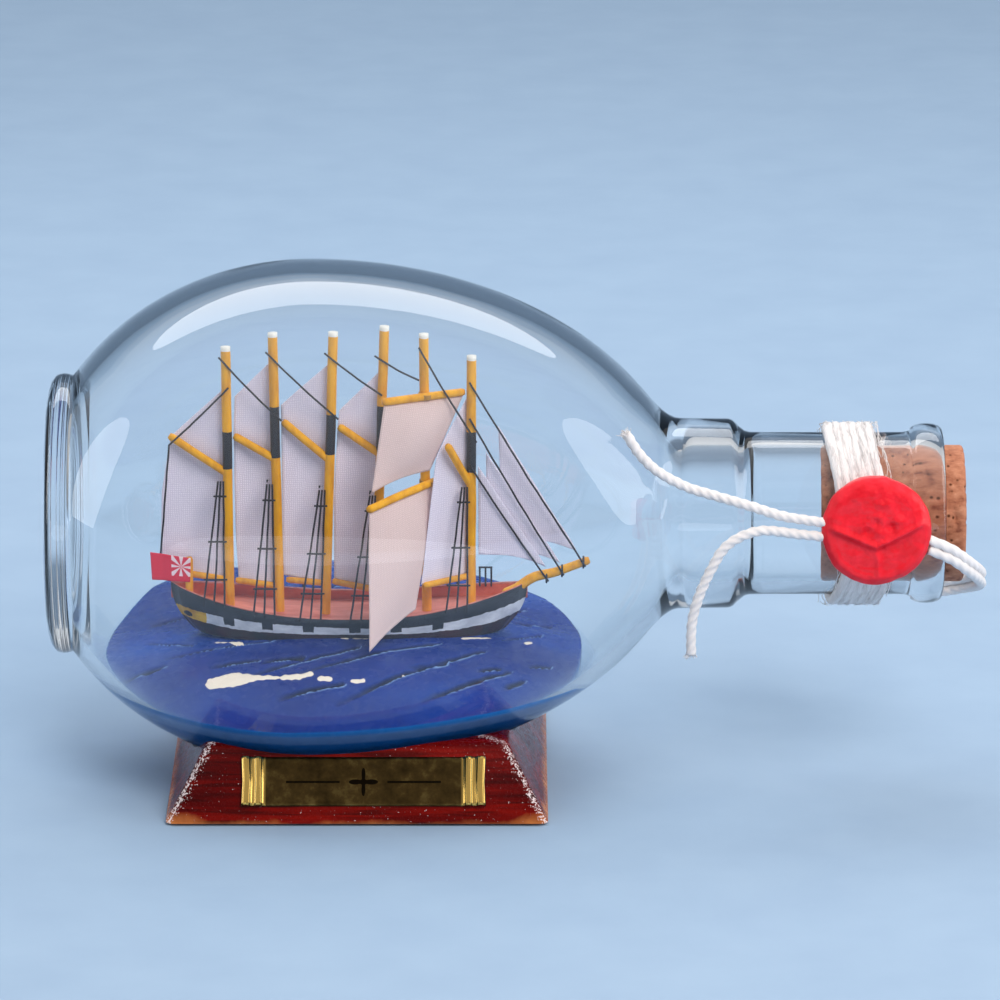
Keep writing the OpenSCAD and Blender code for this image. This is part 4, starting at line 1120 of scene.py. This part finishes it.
deck_bm = bmesh.new()
bmesh.ops.create_grid(deck_bm, x_segments=120, y_segments=16, size=0.5)
for v in deck_bm.verts:
    x = hull_mid - hull_half * 0.985 * math.cos(math.pi * (v.co.x + 0.5))
    t = v.co.y * 2
    w = max(0.02, half_beam(x) - 0.5)
    z = deck_z(x) - 0.02 + 0.12 * (1 - t * t) + 0.05 * noise.noise(Vector((x * 0.5, t * 2, 0)))
    v.co = Vector((x * MM, w * t * MM, axis_z + z * MM))
deck = new_object("painted_deck", deck_bm)
thick = deck.modifiers.new("board", "SOLIDIFY")
thick.thickness = 0.3 * MM
thick.offset = -1
deck_look, tree, shader = new_material("deck_paint", srgb("#c05a42"), 0.5)
coords = on_object(tree)
at = add(tree, "ShaderNodeSeparateXYZ", Vector=coords)
ends = sums(tree, "MULTIPLY_ADD", sums(tree, "ABSOLUTE", at.outputs[0]), 1 / (9 * MM), -2.0,
            clamp=True)
join(tree, blend_colour(tree, ends, brushed(tree, coords, "#dd8371", "#bb5c4c", 380),
                        brushed(tree, coords, "#e5793c", "#cb5a35", 380)),
     shader.inputs["Base Color"])
brush_marks(tree, coords, shader)
put(deck, "bottle", deck_look, "deck")

# ---------------------------------------------------------------------------
# Masts and spars
# Slim dowels painted golden yellow. The masts have white heads and a black
# band, and stand in holes in the deck; gaffs, booms and yards are glued on.
# ---------------------------------------------------------------------------
mast_r, gaff_d, boom_d = 0.825, 1.35, 1.1
mast_foot = [-22.1, -13.6, -5.8, 2.7, 11.4, 18.9]
mast_head = [-22.3, -14.4, -4.2, 4.4, 11.0, 19.0]
mast_high = [47.1, 49.5, 49.6, 50.6, 49.3, 45.5]
black_bands = [(8.1, 14.2), (9.9, 18.6), (10.3, 17.2), (10.3, 18.8), (40, 41), (7.4, 14.3)]


def mast_x(i, h):
    return mast_foot[i - 1] + (mast_head[i - 1] - mast_foot[i - 1]) * h / mast_high[i - 1]


def aboard(x, y, h):
    """A place on the ship: along it, across it and above the deck, in millimetres."""
    return Vector((x * MM, y * MM, axis_z + (deck_mid + h) * MM))


def swung(point):
    """The fore gaff, boom and sail are swung towards the front, about mast 6."""
    pivot = aboard(mast_x(6, 20), 0, 0)
    pivot.z = 0
    return pivot + Matrix.Rotation(math.radians(40), 3, "Z") @ (point - pivot)


def dowel_line(a, b, seed, wander=0.07, gap=0.5):
    line = smooth_route([a, a.lerp(b, 0.35), a.lerp(b, 0.7), b], gap * MM)
    for k, p in enumerate(line):
        way = math.sin(math.pi * k / (len(line) - 1))
        p += noise.noise_vector(Vector((k * 0.07, seed, 0))) * wander * MM * way
    return line


def rounded(t):
    return min(1.0, 0.72 + 0.28 * min(t, 1 - t) / 0.012)


spar_look, tree, shader = new_material("spar_paint", srgb("#e3a019"), 0.42)
coords = on_object(tree)
shake = speckle(tree, coords, 900, 3)
streak = speckle(tree, coords, 700, 4, 0.6, (1.0, 1.0, 0.25))
gold = ramp(tree, streak, [(0.33, srgb("#dc920a")), (0.6, srgb("#f5ae12"))]).outputs[0]
black = sums(tree, "ADD", layer(tree, "black"),
             sums(tree, "MULTIPLY_ADD", shake, 0.5, -0.25))
white = sums(tree, "ADD", layer(tree, "white"),
             sums(tree, "MULTIPLY_ADD", shake, 0.5, -0.25))
gold = blend_colour(tree, sums(tree, "GREATER_THAN", black, 0.5), gold, srgb("#20222c"))
join(tree, blend_colour(tree, sums(tree, "GREATER_THAN", white, 0.5), gold, srgb("#f2eee6")),
     shader.inputs["Base Color"])
brush_marks(tree, coords, shader, 0.25)


def spar(name, node, bm, marks=()):
    """Writes the painted bands on a spar's vertices and puts it on the ship."""
    dark = bm.verts.layers.float.new("black")
    pale = bm.verts.layers.float.new("white")
    for v in bm.verts:
        h = (v.co.z - axis_z) / MM
        for layer, low, high in marks:
            v[dark if layer == "black" else pale] = max(
                v[dark if layer == "black" else pale], float(low <= h <= high))
    return put(new_object(name, bm), "bottle", spar_look, node)


for i in range(1, 7):
    foot, head = mast_foot[i - 1], mast_head[i - 1]
    a = Vector((foot * MM, 0, axis_z + (deck_z(foot) - 0.3) * MM))
    b = aboard(head, 0, mast_high[i - 1])
    bm = bmesh.new()
    sweep(bm, dowel_line(a, b, i), mast_r * MM, 20)
    top_z = deck_mid + mast_high[i - 1]
    spar(f"mast_dowel_{i}", f"mast_{i}", bm,
         [("black", *black_bands[i - 1]), ("white", top_z - 0.55, top_z + 1)])

gaffs = {1: (24.9, -32, 31.6), 2: (27.4, -21.1, 31.6), 3: (27.2, -12.8, 34.1),
         4: (28.3, -3.4, 33.2), 6: (22.9, -5.1, 30.8)}
booms = {1: (6, -29.4, 7.2), 2: (4.9, -21.1, 6), 3: (5.4, -12.5, 6.1), 4: (4.2, -4.6, 5.8),
         6: (6.8, -10.2, 7)}
for kind, table, d in (("gaff", gaffs, gaff_d), ("boom", booms, boom_d)):
    for i, (jaw, tip_x, tip_h) in table.items():
        y = mast_r - d / 2
        a = aboard(mast_x(i, jaw), y, jaw)
        b = aboard(tip_x if i != 6 else mast_x(6, 20) + tip_x, y, tip_h)
        if i == 6:
            a, b = aboard(mast_x(6, 20), y, jaw), b
            a, b = swung(a), swung(b)
        bm = bmesh.new()
        sweep(bm, dowel_line(a, b, i * 3 + d), d / 2 * MM, 16, size=rounded)
        spar(f"{kind}_dowel_{i}", f"{kind}_{i}", bm)


def yard_end(arm, yaw, h, rise):
    yaw = math.radians(yaw)
    return aboard(mast_x(5, h) + arm * math.cos(yaw),
                  -(mast_r + gaff_d / 2) / math.cos(yaw) + arm * math.sin(yaw),
                  h + arm * rise / 10)


yards = {"upper_yard": (38.8, 7.3, 7, 15, 0.6), "lower_yard": (23.5, 13, 2.4, 43, 1.4)}
lash_bm = bmesh.new()
for node, (h, back, fore, yaw, rise) in yards.items():
    bm = bmesh.new()
    sweep(bm, dowel_line(yard_end(-back, yaw, h, rise), yard_end(fore, yaw, h, rise), h),
          gaff_d / 2 * MM, 16, size=rounded)
    spar(f"{node}_dowel", node, bm)
    turn = Matrix.Rotation(math.radians(yaw), 3, "Z")
    loop = []
    for k in range(3 * 28 + 1):
        a = math.tau * k / 28
        flat = turn @ Vector((1.0 * math.sin(a), -(gaff_d / 2) + (mast_r + gaff_d / 2 + 0.16)
                              * math.cos(a), 0))
        loop.append(aboard(mast_x(5, h) + flat.x, flat.y, h - 0.35 + 0.7 * k / 84))
    sweep(lash_bm, loop, 0.16 * MM, 8)
lash_look, tree, shader = new_material("lashing_glue", srgb("#b07f30"), 0.5)
coords = on_object(tree)
brush_marks(tree, coords, shader)
put(new_object("yard_lashing_turns", lash_bm), "bottle", lash_look, "yard_lashings")

bm = bmesh.new()
sweep(bm, smooth_route([aboard(24.4, 0, 3.65), aboard(26.6, 0, 4.6), aboard(29.6, 0, 6.6),
                        aboard(33.5, 0, 7.6), aboard(39.1, 0, 9.65)], 0.5 * MM), 0.8 * MM, 18,
      size=lambda t: (1.0 + 0.08 * math.sin(5 * t)) * rounded(t))
spar("bowsprit_dowel", "bowsprit", bm)
staff_x = -28.9
bm = bmesh.new()
sweep(bm, dowel_line(Vector((staff_x * MM, -1.5 * MM, axis_z + (deck_z(staff_x) - 0.3) * MM)),
                     aboard(staff_x, -1.5, 10.6), 40, 0.03), 0.65 * MM, 16, size=rounded)
spar("flagstaff_dowel", "flagstaff", bm)

# ---------------------------------------------------------------------------
# Sails
# Fine cotton cut with straight edges, stiffened and glued behind the masts, on
# the yards and on the headstays. Each has a slight belly and a visible weave.
# ---------------------------------------------------------------------------
cloth_look, tree, shader = new_material("sailcloth", srgb("#c9c1d4"), 0.85)
cream_look, cream_tree, cream_shader = new_material("sailcloth_cream", srgb("#cdbfbd"), 0.85)
weave_group = bpy.data.node_groups.new("plain_weave", "ShaderNodeTree")
weave_group.interface.new_socket("Height", in_out="OUTPUT", socket_type="NodeSocketFloat")
weave_group.interface.new_socket("Tone", in_out="OUTPUT", socket_type="NodeSocketFloat")
group_out = weave_group.nodes.new("NodeGroupOutput")
cut_at = add(weave_group, "ShaderNodeUVMap", {"uv_map": "cut"}).outputs[0]
cut_split = add(weave_group, "ShaderNodeSeparateXYZ", Vector=cut_at)
ripple = speckle(weave_group, cut_at, 0.8, 3)
threads = []
for axis in (0, 1):
    bent = sums(weave_group, "MULTIPLY_ADD", ripple, 0.5, cut_split.outputs[axis])
    wave = sums(weave_group, "COSINE", sums(weave_group, "MULTIPLY", bent, math.tau / 0.36))
    threads.append(sums(weave_group, "MULTIPLY_ADD", wave, 0.5, 0.5))
woven = sums(weave_group, "MULTIPLY", threads[0], threads[1])
slub = speckle(weave_group, cut_at, 5.0, 3, 0.6, (0.25, 2.5, 1.0))
join(weave_group, woven, group_out.inputs["Height"])
join(weave_group, sums(weave_group, "MULTIPLY_ADD", woven, 0.55, sums(
    weave_group, "MULTIPLY", slub, 0.45)), group_out.inputs["Tone"])
for look_tree, look_shader, pale, deep in ((tree, shader, "#f3ebf8", "#d9d0e3"),
                                           (cream_tree, cream_shader, "#ecd2cf", "#d6bbb8")):
    weave = add(look_tree, "ShaderNodeGroup", {"node_tree": weave_group})
    join(look_tree, ramp(look_tree, weave.outputs["Tone"],
                         [(0.18, srgb(deep)), (0.62, srgb(pale))]).outputs[0],
         look_shader.inputs["Base Color"])
    relief(look_tree, look_shader, weave.outputs["Height"], 0.5, 0.08)
    settle(look_shader, Sheen_Weight=0.15, Subsurface_Weight=0.15,
           Subsurface_Radius=(0.001, 0.001, 0.001))


def cut_cloth(outline, gap=0.5):
    """A flat grid of cloth cut to a convex outline, in millimetres, with its own UV."""
    bm = bmesh.new()
    xs, zs = [p[0] for p in outline], [p[1] for p in outline]
    wide, tall = max(xs) - min(xs), max(zs) - min(zs)
    bmesh.ops.create_grid(bm, x_segments=round(wide / gap), y_segments=round(tall / gap), size=0.5)
    for v in bm.verts:
        v.co = Vector((min(xs) + wide * (v.co.x + 0.5), 0, min(zs) + tall * (v.co.y + 0.5)))
    middle = Vector((sum(xs) / len(xs), 0, sum(zs) / len(zs)))
    for p, q in zip(outline, outline[1:] + outline[:1]):
        a, b = Vector((p[0], 0, p[1])), Vector((q[0], 0, q[1]))
        out = Vector((b.z - a.z, 0, a.x - b.x))
        if out.dot(middle - a) > 0:
            out.negate()
        bmesh.ops.bisect_plane(bm, geom=bm.verts[:] + bm.edges[:] + bm.faces[:], plane_co=a,
                               plane_no=out, clear_outer=True, dist=1e-4)
    bmesh.ops.remove_doubles(bm, verts=bm.verts[:], dist=0.02)
    uv = bm.loops.layers.uv.new("cut")
    for f in bm.faces:
        for l in f.loops:
            l[uv].uv = (l.vert.co.x, l.vert.co.z)
    return bm, (wide, tall), sum(f.calc_area() for f in bm.faces)


def as_cloth(name, node, bm, look, cloth_t=0.14):
    piece = new_object(name, bm)
    thick = piece.modifiers.new("cloth", "SOLIDIFY")
    thick.thickness = cloth_t * MM
    thick.offset = 0
    return put(piece, "bottle", look, node)


fore_aft = {1: [(-22.2, 40.1), (-31.8, 31.1), (-33.5, 21.4), (-33.8, 11.5), (-33, 7.6),
                (-22.6, 6.1)],
            2: [(-14.6, 44.5), (-20.9, 38.2), (-21.2, 31.6), (-21, 15), (-20.6, 5.8), (-14, 4.9)],
            3: [(-4.9, 44), (-13.1, 36.7), (-13.1, 34.1), (-12.9, 6.7), (-6, 5.4)],
            4: [(3.9, 43), (-3.3, 35.7), (-3.6, 33.1), (-4.3, 19.9), (-4.3, 5.7), (2.4, 4.4)],
            6: [(0, 38.3), (-6, 28.8), (-10.2, 7), (0, 6.8)]}
for i, outline in fore_aft.items():
    bm, size, area = cut_cloth(outline)
    low_x, high_x = min(p[0] for p in outline), max(p[0] for p in outline)
    for v in bm.verts:
        x, h = v.co.x, v.co.z
        s, t = (high_x - x) / (high_x - low_x), (h - 5) / 38
        belly = 0.85 * math.sin(math.pi * min(1.0, s)) * max(0.0, math.sin(math.pi * min(1, t)))
        crease = 0.22 * noise.noise(Vector((x * 0.22, h * 0.1, i * 5))) * min(1.0, 2 * s)
        curl = 0.5 * max(0.0, s - 0.7) * noise.noise(Vector((h * 0.16, i * 9, 0)))
        y = mast_r + 0.14 + belly + abs(crease) + abs(curl)
        place = aboard(x if i != 6 else mast_x(6, 20) + x, y, h)
        v.co = swung(place) if i == 6 else place
    sail = as_cloth(f"cloth_sail_{i}", f"sail_{i}", bm, cloth_look)


def under_yard(arm, yaw, h, rise):
    return yard_end(arm, yaw, h, rise) - Vector((0, 0, (gaff_d / 2 - 0.05) * MM))


squares = {"topsail": ("upper_yard", [(2.2, -7.4, 23.6), (12, -1.6, 26)], 1.3),
           "course_sail": ("lower_yard", [(1.9, -16.8, -1.4), (9.6, -8.2, 3.4)], 0.9)}
for node, (yard, feet, belly) in squares.items():
    h, back, fore, yaw, rise = yards[yard]
    head = [under_yard(-back + 0.3, yaw, h, rise), under_yard(fore - 0.3, yaw, h, rise)]
    foot = [aboard(*p) for p in feet]
    face = (head[1] - head[0]).cross(foot[0] - head[0]).normalized()
    if face.y > 0:
        face.negate()
    wide = max((head[1] - head[0]).length, (foot[1] - foot[0]).length) / MM
    tall = max((foot[k] - head[k]).length for k in range(2)) / MM
    bm = bmesh.new()
    bmesh.ops.create_grid(bm, x_segments=round(wide * 2), y_segments=round(tall * 2), size=0.5)
    uv = bm.loops.layers.uv.new("cut")
    for f in bm.faces:
        for l in f.loops:
            l[uv].uv = ((l.vert.co.x + 0.5) * wide, (l.vert.co.y + 0.5) * tall)
    for v in bm.verts:
        s, t = v.co.x + 0.5, v.co.y + 0.5
        place = head[0].lerp(head[1], s).lerp(foot[0].lerp(foot[1], s), t)
        sag = belly * math.sin(math.pi * s) * math.sin(math.pi * min(1, t * 1.05)) ** 0.8
        sag += 0.3 * noise.noise(Vector((s * 2.2, t * 1.6, belly * 7))) * min(1, 4 * t)
        hollow = 0.55 * math.sin(math.pi * s) * t ** 4
        v.co = place + face * sag * MM + Vector((0, 0, hollow * MM))
    area = sum(f.calc_area() for f in bm.faces) / MM ** 2
    sail = as_cloth(f"cloth_{node}", node, bm, cream_look)

jibs = {"jib_inner": ([(20.1, 26.5), (31.6, 8.6), (20.2, 10.8)], 0.1),
        "jib_middle": ([(21.4, 28.8), (34, 9.2), (21.7, 11.7)], 0.65),
        "jib_outer": ([(23.5, 33.2), (36.9, 11.1), (24.2, 13.2)], 1.2)}
for node, (outline, back) in jibs.items():
    bm, size, area = cut_cloth(outline)
    for v in bm.verts:
        x, h = v.co.x, v.co.z
        s = (x - outline[0][0]) / size[0]
        t = (h - outline[1][1]) / size[1]
        deep = 0.35 * math.sin(math.pi * min(1, max(0, t))) * (1 - s)
        hollow = 1.1 * math.sin(math.pi * min(1, max(0, s))) * max(0.0, 1 - 4 * t)
        y = -mast_r + back + 0.12 + deep + 0.1 * noise.noise(Vector((x * 0.3, h * 0.2, back)))
        v.co = aboard(x, y, h + hollow)
    sail = as_cloth(f"cloth_{node}", node, bm, cloth_look)

# ---------------------------------------------------------------------------
# Rigging
# Black sewing thread, stiffened with glue: stays from mast to mast, headstays
# to the bowsprit, three shrouds with crossbars on each side, a spanker line.
# ---------------------------------------------------------------------------
thread_look, tree, shader = new_material("black_thread", srgb("#22222b"), 0.6)
along = add(tree, "ShaderNodeUVMap", {"uv_map": "along"}).outputs[0]
split = add(tree, "ShaderNodeSeparateXYZ", Vector=along)
ply = sums(tree, "PINGPONG", sums(tree, "MULTIPLY_ADD", split.outputs[0], 2.4,
                                  sums(tree, "MULTIPLY", split.outputs[1], 2.0)), 0.5)
join(tree, ramp(tree, ply, [(0.1, srgb("#15151c")), (0.45, srgb("#34343f"))]).outputs[0],
     shader.inputs["Base Color"])
relief(tree, shader, ply, 0.6, 0.08)
thread_r = 0.17


def thread(bm, a, b, seed, sag=0.0, past=0.0):
    """A thread from a to b, a little wavy, that runs on past both ends."""
    way = (b - a).normalized()
    a, b = a - way * past * MM, b + way * past * MM
    count = max(3, round((b - a).length / (1.6 * MM)))
    points = []
    for k in range(count + 1):
        t = k / count
        drop = Vector((0, 0, -sag * MM)) * math.sin(math.pi * t)
        wave = noise.noise_vector(Vector((k * 0.55, seed * 3.1, 1))) * 0.09 * MM
        points.append(a.lerp(b, t) + drop + wave * math.sin(math.pi * t) ** 0.5)
    sweep(bm, smooth_route(points, 0.8 * MM), thread_r * MM, 7)


stay_y = -(mast_r + thread_r)
stays = [(1, 44.2, 2, 35.7, 1.7, 0), (2, 45.2, 3, 35.9, 1.7, 0), (3, 45.2, 4, 38.9, 0, 0),
         (4, 44.9, 5, 41, -1, 0), (5, 45.8, 6, 32.3, 1.7, 0.6)]
stay_bm = bmesh.new()
for k, (m, h, n, g, past, front) in enumerate(stays):
    a, b = aboard(mast_x(m, h), stay_y - front, h), aboard(mast_x(n, g), stay_y - front, g)
    way = (b - a).normalized()
    thread(stay_bm, a - way * 1.7 * MM, b + way * past * MM, k, 0.25)
put(new_object("mast_stay_threads", stay_bm), "bottle", thread_look, "mast_stays")


def bowsprit_at(t):
    return aboard(24.4 + 14.7 * t, -0.8 - thread_r, 3.65 + 6 * t)


headstay_bm = bmesh.new()
for k, (h, t) in enumerate(((40.6, 0.93), (34.3, 0.68), (26.3, 0.5))):
    foot = bowsprit_at(t)
    thread(headstay_bm, aboard(mast_x(6, h), stay_y, h), foot, 20 + k, 0.35, 0.6)
    loop = [foot + Vector((0, (0.8 + thread_r) * (1 - math.cos(a)), 0.98 * math.sin(a))) * MM
            for a in (math.tau * j / 16 for j in range(17))]
    sweep(headstay_bm, loop, thread_r * MM, 7)
put(new_object("headstay_threads", headstay_bm), "bottle", thread_look, "headstays")

shroud_top = {1: 24, 2: 23.5, 3: 22.5, 4: 21.5, 6: 23}
for i, top in shroud_top.items():
    bm = bmesh.new()
    foot_at, top_at = mast_x(i, 0) - 2.4, mast_x(i, top) - mast_r - 0.3
    half = 3.6 / 2
    foot_y = max(half_beam(foot_at - half - 0.5), half_beam(foot_at + half + 0.5)) + 0.36
    top_y = mast_r + 0.25 + 0.36
    foot_h = rail_z(foot_at) - 0.6 - deck_mid
    for side in (-1, 1):
        def leaned(x, t):
            return aboard(x, side * (foot_y + (top_y - foot_y) * t), foot_h + (top - foot_h) * t)
        for k in (-1, 0, 1):
            thread(bm, leaned(foot_at + k * half, 0), leaned(top_at + k * 0.45, 1),
                   i * 7 + k + side * 31)
        for t in (0.22, 0.52, 0.88):
            x = foot_at + (top_at - foot_at) * t
            wide = half * (1 - t) + 0.45 * t + 0.5
            thread(bm, leaned(x - wide, t), leaned(x + wide, t), i * 11 + t * 9 + side)
    put(new_object(f"shroud_threads_{i}", bm), "bottle", thread_look,
        f"shrouds_{i}")

line_bm = bmesh.new()
corner = aboard(-32, stay_y, 30.2)
thread(line_bm, aboard(mast_x(1, 40) + 0.4, stay_y, 40.2), corner, 61, 0.2)
thread(line_bm, corner, aboard(-33.9, stay_y, 9), 62, 0.0)
put(new_object("spanker_thread", line_bm), "bottle", thread_look, "spanker_line")

rail_bm = bmesh.new()
rail_y = half_beam(22.4) - 0.275 - 0.2
for k in range(3):
    foot = Vector(((20.4 + k) * MM, rail_y * MM, axis_z + (rail_z(20.4) - 0.1) * MM))
    sweep(rail_bm, [foot, foot + Vector((0, 0, 1.8 * MM)), foot + Vector((0, 0, 3.5 * MM))],
          0.17 * MM, 8)
high = axis_z + (rail_z(20.4) + 3.35) * MM
sweep(rail_bm, [Vector((x * MM, rail_y * MM, high)) for x in (20.2, 21.4, 22.6)], 0.17 * MM, 8)
put(new_object("fore_rail_posts", rail_bm), "bottle", thread_look, "fore_rail")

# ---------------------------------------------------------------------------
# Flag
# A scrap of printed paper glued to the staff at the stern: red, with a plain
# burst of pale rays in the corner next to the staff.
# ---------------------------------------------------------------------------
flag_bm = bmesh.new()
bmesh.ops.create_grid(flag_bm, x_segments=28, y_segments=20, size=0.5)
uv = flag_bm.loops.layers.uv.new("cut")
corners = [(-35.4, 11.8), (-28.6, 10.6), (-35.2, 6.9), (-28.7, 6.4)]
for f in flag_bm.faces:
    for l in f.loops:
        l[uv].uv = (l.vert.co.x + 0.5, l.vert.co.y + 0.5)
for v in flag_bm.verts:
    s, t = v.co.x + 0.5, v.co.y + 0.5
    x = (corners[2][0] * (1 - s) + corners[3][0] * s) * (1 - t) + t * (
        corners[0][0] * (1 - s) + corners[1][0] * s)
    h = (corners[2][1] * (1 - s) + corners[3][1] * s) * (1 - t) + t * (
        corners[0][1] * (1 - s) + corners[1][1] * s)
    wave = 0.3 * math.sin(4.5 * (1 - s)) * (1 - s)
    v.co = aboard(x, -1.5 - 0.65 - 0.12 - abs(wave), h)
flag = new_object("paper_flag", flag_bm)
thick = flag.modifiers.new("paper", "SOLIDIFY")
thick.thickness = 0.1 * MM
thick.offset = 0
flag_look, tree, shader = new_material("flag_paper", srgb("#df1f3d"), 0.5)
flat = add(tree, "ShaderNodeUVMap", {"uv_map": "cut"}).outputs[0]
at = add(tree, "ShaderNodeSeparateXYZ", Vector=flat)
ray_x = sums(tree, "MULTIPLY", sums(tree, "SUBTRACT", at.outputs[0], 0.76), 1.4)
ray_y = sums(tree, "SUBTRACT", at.outputs[1], 0.6)
around = sums(tree, "COSINE", sums(tree, "MULTIPLY", sums(tree, "ARCTAN2", ray_y, ray_x), 8.0))
corner = sums(tree, "MULTIPLY", sums(tree, "GREATER_THAN", at.outputs[0], 0.52),
              sums(tree, "GREATER_THAN", at.outputs[1], 0.22))
rays = sums(tree, "MULTIPLY", corner, sums(tree, "GREATER_THAN", around, 0.1))
join(tree, blend_colour(tree, rays, srgb("#df1f3d"), srgb("#f4d9de")), shader.inputs["Base Color"])
put(flag, "bottle", flag_look, "flag")
